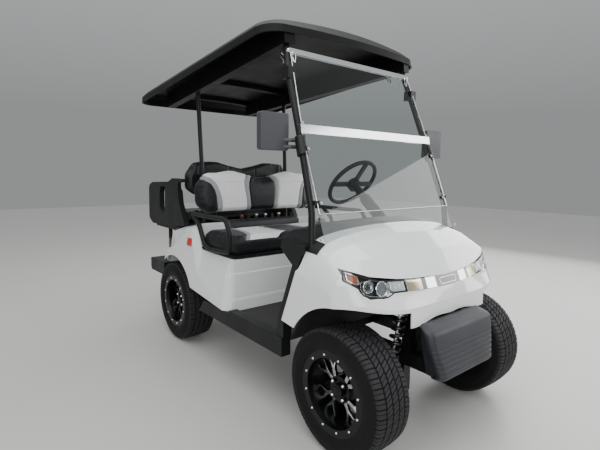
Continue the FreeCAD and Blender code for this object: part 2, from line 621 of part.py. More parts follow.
def leaf_spring():
    """Bowed stack of leaves with an eye at each end, clamped under the axle."""
    front, rear = SPRING_ENDS
    width = RAIL_WIDTH
    x = RAIL_X - width / 2

    def arc(lift):
        return Part.Arc(Vector(x, front, SPRING_EYE_Z + lift), Vector(x, WHEELBASE, SPRING_MID_Z + lift),
                        Vector(x, rear, SPRING_EYE_Z + lift)).toShape()

    ends = [Part.LineSegment(Vector(x, y, SPRING_EYE_Z), Vector(x, y, SPRING_EYE_Z - LEAF)).toShape()
            for y in SPRING_ENDS]
    face = Part.Face(Part.Wire(Part.__sortEdges__([arc(0), ends[1], arc(-LEAF), ends[0]])))
    stack = face.extrude(Vector(width, 0, 0))
    eyes = [across((x, x + width), y, SPRING_EYE_Z, 15) for y in SPRING_ENDS]
    seat = block((x, x + width), (WHEELBASE - 45, WHEELBASE + 45),
                 (SPRING_MID_Z - 30, SPRING_MID_Z + SPRING_SEAT))
    return fused(stack, seat, *eyes)


def rear_axle():
    """Axle tube with gear case, brake drums, spring pads and the stub for each wheel."""
    z = TYRE_RADIUS
    parts = [across((-SHOULDER_END + 40, SHOULDER_END - 40), WHEELBASE, z, 38)]
    for side in (-1, 1):
        drum = sorted((side * (SHOULDER_END - 46), side * SHOULDER_END))
        parts.append(across(drum, WHEELBASE, z, 92))
        parts.append(across(sorted((side * 300, side * SPINDLE_END)), WHEELBASE, z, SPINDLE_RADIUS))
        pad = sorted((side * (RAIL_X - 25), side * (RAIL_X + 25)))
        parts.append(block(pad, (WHEELBASE - 45, WHEELBASE + 45), (SPRING_MID_Z + SPRING_SEAT, z)))
    case = revolved([(-75, 0), (-75, 70), (-45, 108), (45, 108), (75, 70), (75, 0)], 60, WHEELBASE, z)
    parts.append(case)
    return fused(*parts)


def drive_motor(axle):
    """Electric motor on the gear case."""
    y, z = WHEELBASE - 105, TYRE_RADIUS + 10
    body = across((-200, -15), y, z, 84)
    tail = across((-212, -200), y, z, 60)
    neck = across((-15, 60), y, z, 48)
    return biggest(fused(body, tail, neck).cut(axle))


def rear_shock():
    """Damper from the spring's clamp up to the rail."""
    x = RAIL_X + RAIL_WIDTH / 2
    y = WHEELBASE + 60
    foot_top = SPRING_MID_Z + 10
    body = rod((x + 20, y, foot_top), (x + 20, y, 400), 20)
    foot = block((x, x + 30), (WHEELBASE + 30, y + 12), (foot_top - 22, foot_top))
    stem = rod((x + 20, y, 400), (x + 20, y, 412), 8)
    head = block((x, x + 32), (y - 12, y + 12), (396, 418))
    return fused(body, foot, stem, head)


# Front body

def cowl_block():
    """The cowl's outer form, as if it were solid."""
    return cross_loft([(x, chain + [(-40, 528), (255, 528), COWL_TAIL]) for x, chain in COWL_STATIONS], False)


def front_cowl(outside):
    """Moulded hood, nose and front fenders in one thin shell, open below and behind."""
    half = COWL_STATIONS[-1][0]
    shrink = (half - COWL_WALL) / half
    inner = []
    for x, chain in COWL_STATIONS:
        inside = skin_inside(chain, COWL_WALL)
        inner.append((x * shrink, inside + [(-60, 470), (255, 470), (COWL_TAIL[0] + 60, COWL_TAIL[1] - 60)]))
    shell = outside.cut(cross_loft(inner, False))
    for span in ((-700, -305), (305, 700)):
        shell = shell.cut(across(span, ARCH_CENTRE_Y, ARCH_CENTRE_Z, ARCH_RADIUS))
    shell = shell.cut(block((-CABIN_HALF, CABIN_HALF), (HOOD_BACK, 500), (300, 1100)))
    return biggest(shell)


def headlamp(outside):
    """Lamp unit let into the nose, from the turn signal at the corner to the clear inner part."""
    behind = block((200, 620), (30, 100), (600, 1000))
    return biggest(rounded_front(LAMP_OUTLINE, (-300, 60)).common(outside).cut(behind))


def front_bumper():
    """Ribbed plastic block in front of the frame."""
    ribs = []
    for step in range(RIB_COUNT):
        z = 520 - step * RIB_PITCH
        y = -285 - (570 - z) * BUMPER_LEAN
        lower = y - 4 * BUMPER_LEAN
        ribs += [(y, z), (y + RIB_DEPTH, z - 2), (lower + RIB_DEPTH, z - 8), (lower, z - 10)]
    nose = [(-FRONT_OVERHANG, 385), (-FRONT_OVERHANG + 7, 352), (-302, 345), (-288, 345)]
    outline = [(-222, 590), (-268, 590), (-285, 570)] + ribs + nose + [(-262, 413), (-222, 520)]
    side = side_prism(outline, (-BUMPER_HALF - 8, BUMPER_HALF + 8))
    right = [(-BUMPER_HALF + 66, 345), (-BUMPER_HALF + 50, 356), (-BUMPER_HALF, 520), (-BUMPER_HALF, 566)]
    left = [(-x, z) for x, z in reversed(right)]
    front = [(-BUMPER_HALF + 30, 590), (BUMPER_HALF - 30, 590)] + left + right
    return side.common(front_prism(front, (-330, -200)))


# Cabin

def dash(pillars):
    """Dashboard with an open shelf on each side."""
    stations = []
    for x, edge in ((0.0, 1000.0), (300.0, 992.0), (480.0, 968.0), (CABIN_HALF, 930.0)):
        stations.append((x, [(HOOD_BACK, edge), (230, edge + 12), (330, edge + 22), (425, edge + 6),
                             (446, edge - 40), (400, 850), (330, 800), (HOOD_BACK, 800)]))
    whole = cross_loft(stations)
    for x in ((-470, -150), (110, 200), (380, 500)):
        whole = whole.cut(block(x, (290, 500), (868, 920)))
    return biggest(whole.cut(pillars))


def kick_panel(cowl, pillars):
    """Black side panel from the pillar's foot down to the sill."""
    outline = [(190, 930), (COWL_TAIL[0], COWL_TAIL[1]), (COWL_TAIL[0], SILL_TOP), (402, SILL_TOP),
               (386, 548), (236, 930)]
    return biggest(side_prism(outline, (CABIN_HALF, SILL_OUT - 4)).cut(cowl).cut(pillars))


def floor_pan():
    """Floor with the sloping toe board, one bent sheet under a rubber mat."""
    t = FLOOR_SHEET
    low = RAIL_HIGH
    outline = [(FLOOR_REAR, low), (FLOOR_FRONT, low), (216, 640), (208, 800), (208 + t, 800), (216 + t, 643),
               (FLOOR_FRONT + 5, low + t), (FLOOR_REAR, low + t)]
    return side_prism(outline, (-CABIN_HALF, CABIN_HALF))


def sill():
    """Rocker panel between the wheels."""
    outline = [(SILL_FRONT, SILL_LOW), (SILL_FRONT, SILL_TOP), (SILL_STEP_Y, SILL_TOP),
               (SILL_STEP_Y, BODY_LOW), (SILL_REAR[0], BODY_LOW), (SILL_REAR[1], SILL_LOW)]
    return side_prism(outline, (CABIN_HALF, SILL_OUT))


def pedals():
    """Brake and accelerator, hung from under the dashboard."""
    solids = []
    for x, half in ((215, 38), (330, 28)):
        arm = side_prism([(240, 800), (256, 800), (338, 545), (347, 470), (335, 470), (325, 545)],
                         (x - 6, x + 6))
        plate = side_prism([(327, 548), (340, 548), (350, 468), (337, 468)], (x - half, x + half))
        solids.append(fused(arm, plate))
    return Part.Compound(solids)


def along_column(distance):
    """The point on the steering column's line that lies so far below the wheel's centre."""
    x, y, z = WHEEL_PLACE
    tilt = math.radians(COLUMN_TILT)
    return (x, y - distance * math.cos(tilt), z - distance * math.sin(tilt))


def steering_column(dash_solid):
    """Column tube from the dashboard to just below the wheel."""
    whole = fused(rod(along_column(48), along_column(460), 26), rod(along_column(150), along_column(460), 38))
    bore = rod(along_column(40), along_column(260), SHAFT_RADIUS + RUNNING_FIT)
    return biggest(whole.cut(bore).cut(dash_solid))


def steering_wheel():
    """Round rim, three spokes, a padded hub and the shaft."""
    ring = Part.makeTorus(STEERING_RADIUS, STEERING_GRIP)
    hub = Part.makeCylinder(46, 40, Vector(0, 0, -38))
    shaft = Part.makeCylinder(SHAFT_RADIUS, 220, Vector(0, 0, -255))
    spokes = []
    for angle in (0, 180, 270):
        spoke = block((30, STEERING_RADIUS), (-17, 17), (-16, -4))
        spoke.rotate(Vector(0, 0, 0), Vector(0, 0, 1), angle)
        spokes.append(spoke)
    whole = fused(ring, hub, shaft, *spokes)
    whole.rotate(Vector(0, 0, 0), Vector(1, 0, 0), -(90 - COLUMN_TILT))
    whole.translate(Vector(*WHEEL_PLACE))
    return whole


# Screen, pillars and roof

def front_pillar(outside):
    """Tube from its foot on the cowl to the roof rail, with the foot plate and what holds the screen."""
    path = tube(PILLAR_PATH, PILLAR_RADIUS, 160)
    foot_x, foot_y = PILLAR_PATH[0][0], PILLAR_PATH[0][1] - 14
    middle = Vector(foot_x, foot_y, 930)
    plate = block((foot_x - 32, foot_x + 32), (foot_y - 46, foot_y + 46), (850, 958))
    plate.rotate(middle, Vector(1, 0, 0), 16)
    plate.rotate(middle, Vector(0, 1, 0), 38)
    foot = biggest(plate.cut(outside).common(raised(outside, 10)))
    knee, fold = PILLAR_PATH[1], PILLAR_PATH[2]
    holders = [block(*SCREEN_CLAMP)]
    for z in SCREEN_CLIPS:
        share = (z - knee[2]) / (fold[2] - knee[2])
        x, y = (knee[axis] + (fold[axis] - knee[axis]) * share for axis in (0, 1))
        holders.append(block((CLIP_INSIDE, x), (screen_plane(z) - CLIP_HALF, y),
                             (z - CLIP_HALF, z + CLIP_HALF)))
    return biggest(fused(path, foot, *holders).cut(outside))


def raised(shape, lift):
    """The same form a little higher, to trim what lies on it to an even thickness."""
    copy = shape.copy()
    copy.translate(Vector(0, 0, lift))
    return copy


def roof_outline(reach, length, height):
    """The roof's plan, drawn in by reach on every side, with a bowed front and round corners."""
    half = ROOF_HALF - reach
    near, far = reach, length - reach
    corner = ROOF_CORNER
    side = near + ROOF_BOW
    front_arc, rear_arc = corner * 0.27, corner * 0.29
    edges = [Part.Arc(Vector(-half + corner, side, height), Vector(0, near, height),
                      Vector(half - corner, side, height)).toShape(),
             Part.makeLine(Vector(half, side + corner, height), Vector(half, far - corner, height)),
             Part.makeLine(Vector(half - corner, far, height), Vector(-half + corner, far, height)),
             Part.makeLine(Vector(-half, far - corner, height), Vector(-half, side + corner, height))]
    for way in (-1, 1):
        edges.append(Part.Arc(Vector(way * (half - corner), side, height),
                              Vector(way * (half - front_arc), side + corner * 0.36, height),
                              Vector(way * half, side + corner, height)).toShape())
        edges.append(Part.Arc(Vector(way * half, far - corner, height),
                              Vector(way * (half - rear_arc), far - rear_arc, height),
                              Vector(way * (half - corner), far, height)).toShape())
    return Part.Wire(Part.__sortEdges__(edges))


def roof_form(wall):
    """Crowned roof with rounded corners, as a solid whose faces lie the wall's thickness inside."""
    length = (ROOF_REAR - ROOF_FRONT) / math.cos(math.radians(ROOF_SLOPE))
    low = -80.0 if wall else 0.0
    sections = [roof_outline(inset + wall, length, height) for height, inset in [(low, 0.0)] + ROOF_SECTIONS]
    body = Part.makeLoft(sections, True, True)
    radius = (ROOF_HALF ** 2 + ROOF_CROWN ** 2) / (2 * ROOF_CROWN)
    crown = Part.makeCylinder(radius - wall, length + 200, Vector(0, -100, ROOF_EDGE + ROOF_CROWN - radius),
                              Vector(0, 1, 0))
    body = body.common(crown)
    body.rotate(Vector(0, 0, 0), Vector(1, 0, 0), -ROOF_SLOPE)
    body.translate(Vector(0, ROOF_FRONT, ROOF_FRONT_Z))
    return body


def roof_rails(roof_inside):
    """Channel on each side under the roof that the pillars and struts carry, tied by four crossbars."""
    front_low, rear_low = roof_underside(RAIL_FRONT_Y) - 49, roof_underside(RAIL_REAR_Y) - 31
    deep = 150
    front = [Vector(x, RAIL_FRONT_Y, z) for x, z in ((440, front_low), (500, front_low),
                                                     (500, front_low + deep), (440, front_low + deep))]
    rear = [Vector(x, RAIL_REAR_Y, z) for x, z in ((350, rear_low), (410, rear_low),
                                                   (410, rear_low + deep), (350, rear_low + deep))]
    bar = Part.makeLoft([Part.makePolygon(front + front[:1]), Part.makePolygon(rear + rear[:1])], True, True)
    parts = [bar, mirrored(bar)]
    for y in ROOF_CROSSBARS:
        z = roof_underside(y)
        parts.append(block((-385, 385), (y, y + 44), (z - 14, z + 150)))
    whole = fused(*parts).common(roof_inside)
    hollow = roof_inside.copy()
    hollow.translate(Vector(0, 0, -34))
    bars_only = block((-440, 440), (ROOF_FRONT - 60, ROOF_REAR + 60), (1500, 2300))
    rails_apart = fused(bar, mirrored(bar))
    return biggest(whole.cut(hollow.common(bars_only).cut(rails_apart)))


def pane(corners):
    """A flat sheet through the corners, the pane's thickness towards the back."""
    points = [Vector(*corner) for corner in corners]
    normal = (points[1] - points[0]).cross(points[2] - points[1]).normalize()
    if normal.y < 0:
        normal = normal * -1
    return Part.Face(Part.makePolygon(points + points[:1])).extrude(normal * PANE)


def windscreen(outside, pillars):
    """Lower and upper pane of the fold-down screen."""
    foot = (screen_plane(SCREEN_FOOT), SCREEN_FOOT)
    lower = pane([(-522, *foot), (522, *foot), (516, *SCREEN_FOLD), (-516, *SCREEN_FOLD)])
    rise = 24.0
    high_slope = (SCREEN_TOP[0] - SCREEN_FOLD[0]) / (SCREEN_TOP[1] - SCREEN_FOLD[1])
    start = (SCREEN_FOLD[0] + rise * high_slope, SCREEN_FOLD[1] + rise)
    upper = pane([(-510, *start), (510, *start), (470, *SCREEN_TOP), (-470, *SCREEN_TOP)])
    return biggest(lower.cut(outside).cut(pillars)), biggest(upper.cut(pillars))


def screen_bars(lower, upper, pillars):
    """Fold bar and top bar, each from pillar to pillar."""
    y, z = SCREEN_FOLD
    fold = side_prism([(y - 12, z - 10), (y + 16, z - 10), (y + 24, z + 34), (y - 4, z + 34)],
                      (-FOLD_BAR_HALF, FOLD_BAR_HALF))
    y, z = SCREEN_TOP
    top = side_prism([(y - 12, z - 12), (y + 14, z - 12), (y + 20, z + 14), (y - 6, z + 14)],
                     (-TOP_BAR_HALF, TOP_BAR_HALF))
    return Part.Compound([biggest(bar.cut(lower).cut(upper).cut(pillars)) for bar in (fold, top)])


def mirror(pillars, lower_pane):
    """Side mirror on a short arm clamped to the pillar."""
    housing = block((560, 718), (362, 400), (1374, 1550))
    corners = [edge for edge in housing.Edges if abs(edge.tangentAt(edge.FirstParameter).y) > 0.99]
    housing = housing.makeFillet(12, corners)
    arms = [rod((514, 325, z), (600, 378, z), 9) for z in (1392, 1424)]
    clamp = rod((518, 302, 1352), (512, 334, 1440), 28)
    return biggest(fused(housing, clamp, *arms).cut(pillars).cut(lower_pane))


# Rear body and seats

def from_axle(outline):
    """Side-view points given from the rear axle, in the front axle's frame."""
    return [(WHEELBASE + point[0], *point[1:]) for point in outline]


def body_block():
    """The rear body's outer form, as if it were solid."""
    return cross_loft([(x, from_axle(chain)) for x, chain in BODY_STATIONS])


def rear_body(outside):
    """Moulded shell round the batteries, with both rear fenders and a hatch under the seat."""
    half = BODY_STATIONS[-1][0]
    shrink = (half - BODY_WALL) / half
    inner = [(x * shrink, skin_inside(from_axle(chain), BODY_WALL)) for x, chain in BODY_STATIONS]
    shell = outside.cut(cross_loft(inner))
    for span in ((-700, -ARCH_INNER), (ARCH_INNER, 700)):
        shell = shell.cut(across(span, REAR_ARCH_Y, REAR_ARCH_Z, REAR_ARCH_RADIUS))
    hatch = block((-HATCH_HALF, HATCH_HALF), HATCH_Y, (DECK_Z - 40, DECK_Z + 40))
    return biggest(shell.cut(hatch))


def battery_pack():
    """Batteries as one block on the rails, under the seat."""
    half = RAIL_X + RAIL_WIDTH / 2
    return block((-half, half), BATTERY_Y, (RAIL_HIGH, BATTERY_TOP))


def seat_pan():
    """Board under the front cushion with two hinge lugs behind it."""
    parts = [block((-SEAT_HALF + 10, SEAT_HALF - 10), (SEAT_FRONT + 12, SEAT_REAR),
                   (SEAT_PAN_LOW, SEAT_PAN_HIGH))]
    outline = [(SEAT_REAR - 30, SEAT_PAN_LOW), (SEAT_REAR + 10, SEAT_PAN_LOW), (LID_PIN_Y + 12, LID_PIN_Z),
               (LID_PIN_Y - 12, LID_PIN_Z), (SEAT_REAR + 1, 780), (SEAT_REAR, SEAT_PAN_HIGH),
               (SEAT_REAR - 30, SEAT_PAN_HIGH)]
    for x in LID_HINGE_X:
        parts.append(side_prism(outline, (x - 12, x + 12)))
        parts.append(across((x - 12, x + 12), LID_PIN_Y, LID_PIN_Z, 13))
    whole = fused(*parts)
    reach = LID_HINGE_X[1] + 50
    return whole.cut(across((-reach, reach), LID_PIN_Y, LID_PIN_Z, LID_PIN_RADIUS + RUNNING_FIT))


def seat_hinge(x):
    """Pair of ears on the seat deck with the hinge pin between them."""
    foot, top = DECK_Z + PRESS_GAP, LID_PIN_Z + 10
    parts = [across((x - 24, x + 24), LID_PIN_Y, LID_PIN_Z, LID_PIN_RADIUS)]
    outline = [(LID_PIN_Y - 14, foot), (LID_PIN_Y + 22, foot), (LID_PIN_Y + 11, top), (LID_PIN_Y - 11, top)]
    for low in (x - 24, x + 18):
        parts.append(side_prism(outline, (low, low + 6)))
    return fused(*parts)


def cushion(half, y, z, crown, edge):
    """A padded block with bevelled top edges and a slightly raised middle."""
    low, high = z
    side = side_prism([(y[0], low), (y[0], high - edge), (y[0] + edge, high), (y[1] - edge, high),
                       (y[1], high - edge), (y[1], low)], (-half, half))
    front = front_prism([(-half, low), (half, low), (half, high - edge), (half - edge, high - crown),
                         (half * 0.5, high), (-half * 0.5, high), (-half + edge, high - crown),
                         (-half, high - edge)], y)
    return side.common(front)


def backrest(outline, y, sweep):
    """A padded back with swept ends: the front view's outline within the plan's curve."""
    corners = outline + [(-x, z, radius) for x, z, radius in reversed(outline) if x > 0]
    half = max(x for x, z, radius in outline)
    body = rounded_front(corners, y)
    plan = plan_prism([(-half, y[0] + sweep), (-half + 60, y[0] + sweep * 0.35), (-half + 150, y[0]),
                       (half - 150, y[0]), (half - 60, y[0] + sweep * 0.35), (half, y[0] + sweep),
                       (half, y[1] - 20), (half - 20, y[1]), (-half + 20, y[1]), (-half, y[1] - 20)],
                      (900, 1500))
    return body.common(plan)


def front_backrest():
    """The front seat's back, leaning away from the cushion."""
    upright = backrest(FRONT_BACK_OUTLINE, (BACK_FRONT, BACK_FRONT + BACK_THICK), 70)
    upright.rotate(Vector(0, BACK_FRONT, BACK_LOW), Vector(1, 0, 0), -BACK_LEAN)
    return upright


def seat_back_frame(struts, backrests):
    """Bars between the two backrests that tie them to the struts."""
    y0, y1 = WHEELBASE - 167, WHEELBASE - 135
    tall = 32
    heights = (1090, 1215)
    parts = []
    for z in heights:
        parts.append(block((-410, 410), (y0, y1), (z, z + tall)))
        for side in (-1, 1):
            for x in (150, 360):
                span = sorted((side * x, side * (x + 40)))
                parts.append(block(span, (BACK_FRONT + BACK_THICK - 20, REAR_BACK_Y[0]), (z, z + tall)))
    for x in ((-190, -150), (150, 190)):
        parts.append(block(x, (y0, y1), (heights[0], heights[1] + tall)))
    return biggest(fused(*parts).cut(Part.Compound(backrests)).cut(struts))


def backrest_bar(body_outside, back):
    """Bar on the body's ridge that holds the front backrest's foot and the belt buckles."""
    half, y, z = BACKREST_BAR
    parts = [block((-half, half), y, z)]
    for x in BACKREST_POSTS:
        parts.append(block((x - 12, x + 12), (y[0] + 8, y[1] - 8), (z[1] - 2, BACK_LOW + 20)))
    return biggest(fused(*parts).cut(body_outside).cut(back))


def hip_loop(back, body):
    """Hip restraint bent from tube: a top bar from the backrest, round the front and back under."""
    x = HIP_LOOP_X
    path = from_axle(HIP_LOOP_PATH)
    start = path[0][0]
    top = [(SEAT_HALF - 75, WHEELBASE - 237, HIP_LOOP_TOP), (x, WHEELBASE - 352, HIP_LOOP_TOP),
           (x, start, HIP_LOOP_TOP)]
    upper = tube(top, HIP_LOOP_RADIUS, HIP_LOOP_BEND)
    lower = tube([(x, y, z) for y, z in path], HIP_LOOP_RADIUS, HIP_LOOP_BEND)
    return biggest(fused(upper, lower).cut(back).cut(body))


def rear_base(body_outside):
    """Steel tray that carries the rear cushion, with the bed's hinge ears and pins."""
    half, rear = SIDE_ARM_X[0], REAR_SEAT_Y[1]
    tray = block((-half, half), (WHEELBASE + 103, rear), (REAR_BASE_LOW, REAR_BASE_HIGH))
    hollow = block((-half + 30, half - 30), (WHEELBASE + 53, rear - 30),
                   (REAR_BASE_LOW - 1, REAR_BASE_HIGH - 6))
    parts = [tray.cut(hollow)]
    outline = [(rear - 10, REAR_BASE_LOW), (BED_PIN_Y + 4, BED_PIN_Z - 10), (BED_PIN_Y + 9, BED_PIN_Z + 4),
               (BED_PIN_Y - 9, BED_PIN_Z + 4), (rear - 10, REAR_BASE_HIGH)]
    for x in BED_HINGE_X:
        for low in (x - 32, x + 24):
            parts.append(side_prism(outline, (low, low + 8)))
        parts.append(across((x - 32, x + 32), BED_PIN_Y, BED_PIN_Z, BED_PIN_RADIUS))
    return biggest(fused(*parts).cut(body_outside))


def rear_board():
    """Board under the rear cushion, hinged at its outer edge so that it turns over into a bed."""
    half = REAR_SEAT_HALF - 6
    thick = (REAR_BOARD_LOW, REAR_BOARD_HIGH)
    parts = [block((-half, half), (REAR_SEAT_Y[0] + 6, REAR_SEAT_Y[1] - 6), thick)]
    for x in BED_HINGE_X:
        parts.append(block((x - 17, x + 17), (REAR_SEAT_Y[1] - 8, BED_PIN_Y), thick))
        parts.append(across((x - 17, x + 17), BED_PIN_Y, BED_PIN_Z, 14))
    reach = BED_HINGE_X[1] + 30
    return fused(*parts).cut(across((-reach, reach), BED_PIN_Y, BED_PIN_Z, BED_PIN_RADIUS + RUNNING_FIT))


def side_arm(body_outside, back):
    """Moulded side of the rear seat, with a hand slot and a grab rail that runs to the backrest."""
    panel = rounded_side(from_axle(ARM_OUTLINE), SIDE_ARM_X)
    slot = rounded_side(from_axle(ARM_SLOT), (SIDE_ARM_X[0] - 20, SIDE_ARM_X[1] + 20))
    return biggest(panel.cut(slot).cut(body_outside).cut(back))


def rear_step():
    """Footrest across the back, with the posts that carry the rear seat."""
    y0, y1 = STEP_Y
    side = side_prism([(y0, RAIL_HIGH), (y1 - 18, RAIL_HIGH), (y1, 440), (y1, STEP_TOP - 12),
                       (y1 - 12, STEP_TOP), (y0, STEP_TOP)], (-STEP_HALF, STEP_HALF))
    posts = [rod((x, STEP_POST_Y, STEP_TOP - 2), (x, STEP_POST_Y, REAR_BASE_LOW), 16)
             for x in (-STEP_POST_X, STEP_POST_X)]
    return fused(side, *posts)


def tail_lamp(body_outside):
    """Lamp on the back of each rear fender."""
    lens = block((470, 548), (WHEELBASE + 113, WHEELBASE + 171), (660, 748))
    return biggest(lens.cut(body_outside))


def buckle(x):
    """Seat belt buckle that stands on the backrest's bar."""
    y = BACKREST_BAR[1][0] + 8
    foot = BACKREST_BAR[2][1]
    stem = block((x - 9, x + 9), (y, y + 8), (foot, foot + 20))
    head = block((x - 15, x + 15), (y - 4, y + 12), (foot + 15, foot + 33))
    return fused(stem, head)


def build():
    """All pieces by name, in the axle's frame."""
    pieces = {}
    outside = cowl_block()
    body_outside = body_block()
    roof_inside = roof_form(ROOF_WALL)
    bumper = front_bumper()
    chassis = frame(bumper)
    cowl = front_cowl(outside)
    lamps = pair(headlamp(outside))
    band = biggest(front_prism(BAND_OUTLINE, (-300, -60)).common(outside))
    pieces["front_cowl"] = biggest(cowl.cut(Part.Compound(list(lamps.Solids) + [band])))
    hollow_back = block((-600, 600), (-120, 200), (500, 1000))
    pieces["headlamps"] = lamps
    pieces["nose_band"] = biggest(band.cut(hollow_back))
    pieces["front_bumper"] = bumper
    pieces["frame"] = chassis

    rails = roof_rails(roof_inside)
    pillars = pair(biggest(front_pillar(outside).cut(rails)))
    facia = dash(pillars)
    pieces["dashboard"] = facia
    pieces["kick_panels"] = pair(kick_panel(cowl, pillars))
    pieces["floor_pan"] = floor_pan()
    pieces["sills"] = pair(sill())
    pieces["pedals"] = pedals()
    pieces["steering_column"] = steering_column(facia)
    pieces["steering_wheel"] = steering_wheel()

    lower, upper = windscreen(outside, pillars)
    pieces["front_pillars"] = pillars
    pieces["windscreen"] = Part.Compound([lower, upper])
    pieces["screen_bars"] = screen_bars(lower, upper, pillars)
    pieces["mirrors"] = pair(mirror(pillars, lower))
    pieces["roof"] = biggest(roof_form(0).cut(roof_inside))
    pieces["roof_rails"] = rails

    struts = pair(biggest(tube(STRUT_PATH, STRUT_RADIUS, 200).cut(body_outside).cut(rails)))
    pieces["rear_body"] = rear_body(body_outside)
    pieces["rear_struts"] = struts
    pieces["battery_pack"] = battery_pack()
    front_back = front_backrest()
    rear_back = backrest(REAR_BACK_OUTLINE, REAR_BACK_Y, 24)
    pieces["front_backrest"] = front_back
    pieces["rear_backrest"] = rear_back
    pieces["seat_back_frame"] = seat_back_frame(struts, [front_back, rear_back])
    pieces["backrest_bar"] = backrest_bar(body_outside, front_back)
    pieces["front_armrests"] = pair(hip_loop(front_back, body_outside))
    pieces["seat_hinges"] = Part.Compound([seat_hinge(x) for x in LID_HINGE_X])
    pieces["belt_buckles"] = Part.Compound([buckle(x) for x in BUCKLES])
    pieces["seat_pan"] = seat_pan()
    pieces["front_cushion"] = cushion(SEAT_HALF, (SEAT_FRONT, SEAT_REAR), (SEAT_PAN_HIGH, SEAT_TOP), 12, 34)

    pieces["rear_base"] = rear_base(body_outside)
    pieces["rear_board"] = rear_board()
    pieces["rear_cushion"] = cushion(REAR_SEAT_HALF, REAR_SEAT_Y, (REAR_BOARD_HIGH, REAR_SEAT_TOP), 10, 30)
    pieces["rear_side_arms"] = pair(side_arm(body_outside, rear_back))
    pieces["rear_step"] = rear_step()
    pieces["tail_lamps"] = pair(tail_lamp(body_outside))

    pieces["control_arms"] = control_arms(chassis)
    pieces["coilovers"] = pair(coilover())
    pieces["rack_housing"] = rack_housing()
    pieces["tie_rod"] = tie_rod()
    axle = rear_axle()
    pieces["rear_axle"] = axle
    pieces["drive_motor"] = drive_motor(axle)
    pieces["leaf_springs"] = pair(leaf_spring())
    pieces["rear_shocks"] = pair(rear_shock())
    for side, turn in (("left", lambda shape: shape), ("right", mirrored)):
        pieces["knuckle_" + side] = turn(knuckle())
        for end, y in (("front", 0.0), ("rear", WHEELBASE)):
            pieces[end + "_tyre_" + side] = turn(tyre(y))
            pieces[end + "_rim_" + side] = turn(rim(y))
    return pieces


def main():
    os.makedirs("parts", exist_ok=True)
    forward = Vector(0, FRONT_OVERHANG - LENGTH / 2, 0)
    for name, shape in build().items():
        placed = shape.copy()
        placed.translate(forward)
        placed.exportStep("parts/" + name + ".step")
        print(name, len(placed.Solids), round(placed.Volume / 1e6, 3), placed.isValid())


main()
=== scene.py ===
# %% [markdown]
# # A lifted four-seat electric golf cart
# The cart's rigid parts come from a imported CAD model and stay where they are. This file gives each of
# them its finish, and models what a CAD solid leaves out: tread, padding, lamps, coils and small
# fasteners. Lengths are in metres, the cart faces -Y and its left side is +X.

# %% Load the fixed frame
import json
import math
import bmesh
import bpy
from mathutils import Matrix, Vector
from mathutils.bvhtree import BVHTree


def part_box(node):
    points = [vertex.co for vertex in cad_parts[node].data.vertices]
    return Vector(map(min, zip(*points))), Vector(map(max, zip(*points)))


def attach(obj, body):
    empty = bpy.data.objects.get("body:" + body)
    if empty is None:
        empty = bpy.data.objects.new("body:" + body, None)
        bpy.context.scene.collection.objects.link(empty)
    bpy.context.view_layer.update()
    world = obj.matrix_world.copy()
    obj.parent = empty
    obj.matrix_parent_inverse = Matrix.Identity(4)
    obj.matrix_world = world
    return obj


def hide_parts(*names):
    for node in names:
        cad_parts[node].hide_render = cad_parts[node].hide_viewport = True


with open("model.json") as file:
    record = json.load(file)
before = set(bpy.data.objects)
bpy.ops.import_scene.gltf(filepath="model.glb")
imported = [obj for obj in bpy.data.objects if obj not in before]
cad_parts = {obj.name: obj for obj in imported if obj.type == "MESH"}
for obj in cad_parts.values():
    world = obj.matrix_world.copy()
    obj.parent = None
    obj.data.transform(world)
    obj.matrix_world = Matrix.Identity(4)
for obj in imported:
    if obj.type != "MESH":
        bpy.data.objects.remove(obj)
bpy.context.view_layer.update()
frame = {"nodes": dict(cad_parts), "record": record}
MM = 0.001
tyre_low, tyre_high = (Vector(corner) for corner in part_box("front_tyre_left"))
rear_low, rear_high = (Vector(corner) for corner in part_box("rear_tyre_left"))
FRONT_AXLE = (tyre_low.y + tyre_high.y) / 2
REAR_AXLE = (rear_low.y + rear_high.y) / 2
HUB_Z = (tyre_low.z + tyre_high.z) / 2
TRACK_HALF = (tyre_low.x + tyre_high.x) / 2
print("CAD nodes:", len(frame["nodes"]), "wheelbase:", round(REAR_AXLE - FRONT_AXLE, 3))

# %% [markdown]
# The camera stands to the right of the nose at chest height, turned and tipped as the photographer
# held it. Its place and angles were found from edges whose real sizes are known, so they are named
# values here and the picture lines up with the photograph.

# %% Camera
CAMERA_PLACE = Vector((-1.8301, FRONT_AXLE - 1.3110, 1.2681))
CAMERA_YAW = math.radians(38.8475)
CAMERA_PITCH = math.radians(6.9678)
CAMERA_ROLL = math.radians(0.6753)
SENSOR_WIDTH = 36.0
FOCAL_LENGTH = 25.62


def camera_axes():
    """Right, up and forward of the camera as it was held."""
    forward = Vector((math.sin(CAMERA_YAW) * math.cos(CAMERA_PITCH),
                      math.cos(CAMERA_YAW) * math.cos(CAMERA_PITCH), -math.sin(CAMERA_PITCH)))
    level = Vector((math.cos(CAMERA_YAW), -math.sin(CAMERA_YAW), 0.0))
    upright = level.cross(forward)
    right = level * math.cos(CAMERA_ROLL) + upright * math.sin(CAMERA_ROLL)
    up = upright * math.cos(CAMERA_ROLL) - level * math.sin(CAMERA_ROLL)
    return right, up, forward


def add_camera():
    """The photograph's viewpoint as the scene's camera."""
    right, up, forward = camera_axes()
    data = bpy.data.cameras.new("photo_camera")
    data.lens = FOCAL_LENGTH
    data.sensor_width = SENSOR_WIDTH
    data.sensor_fit = "HORIZONTAL"
    camera = bpy.data.objects.new("photo_camera", data)
    columns = Matrix((right, up, -forward)).transposed().to_4x4()
    camera.matrix_world = Matrix.Translation(CAMERA_PLACE) @ columns
    bpy.context.scene.collection.objects.link(camera)
    bpy.context.scene.camera = camera
    return camera


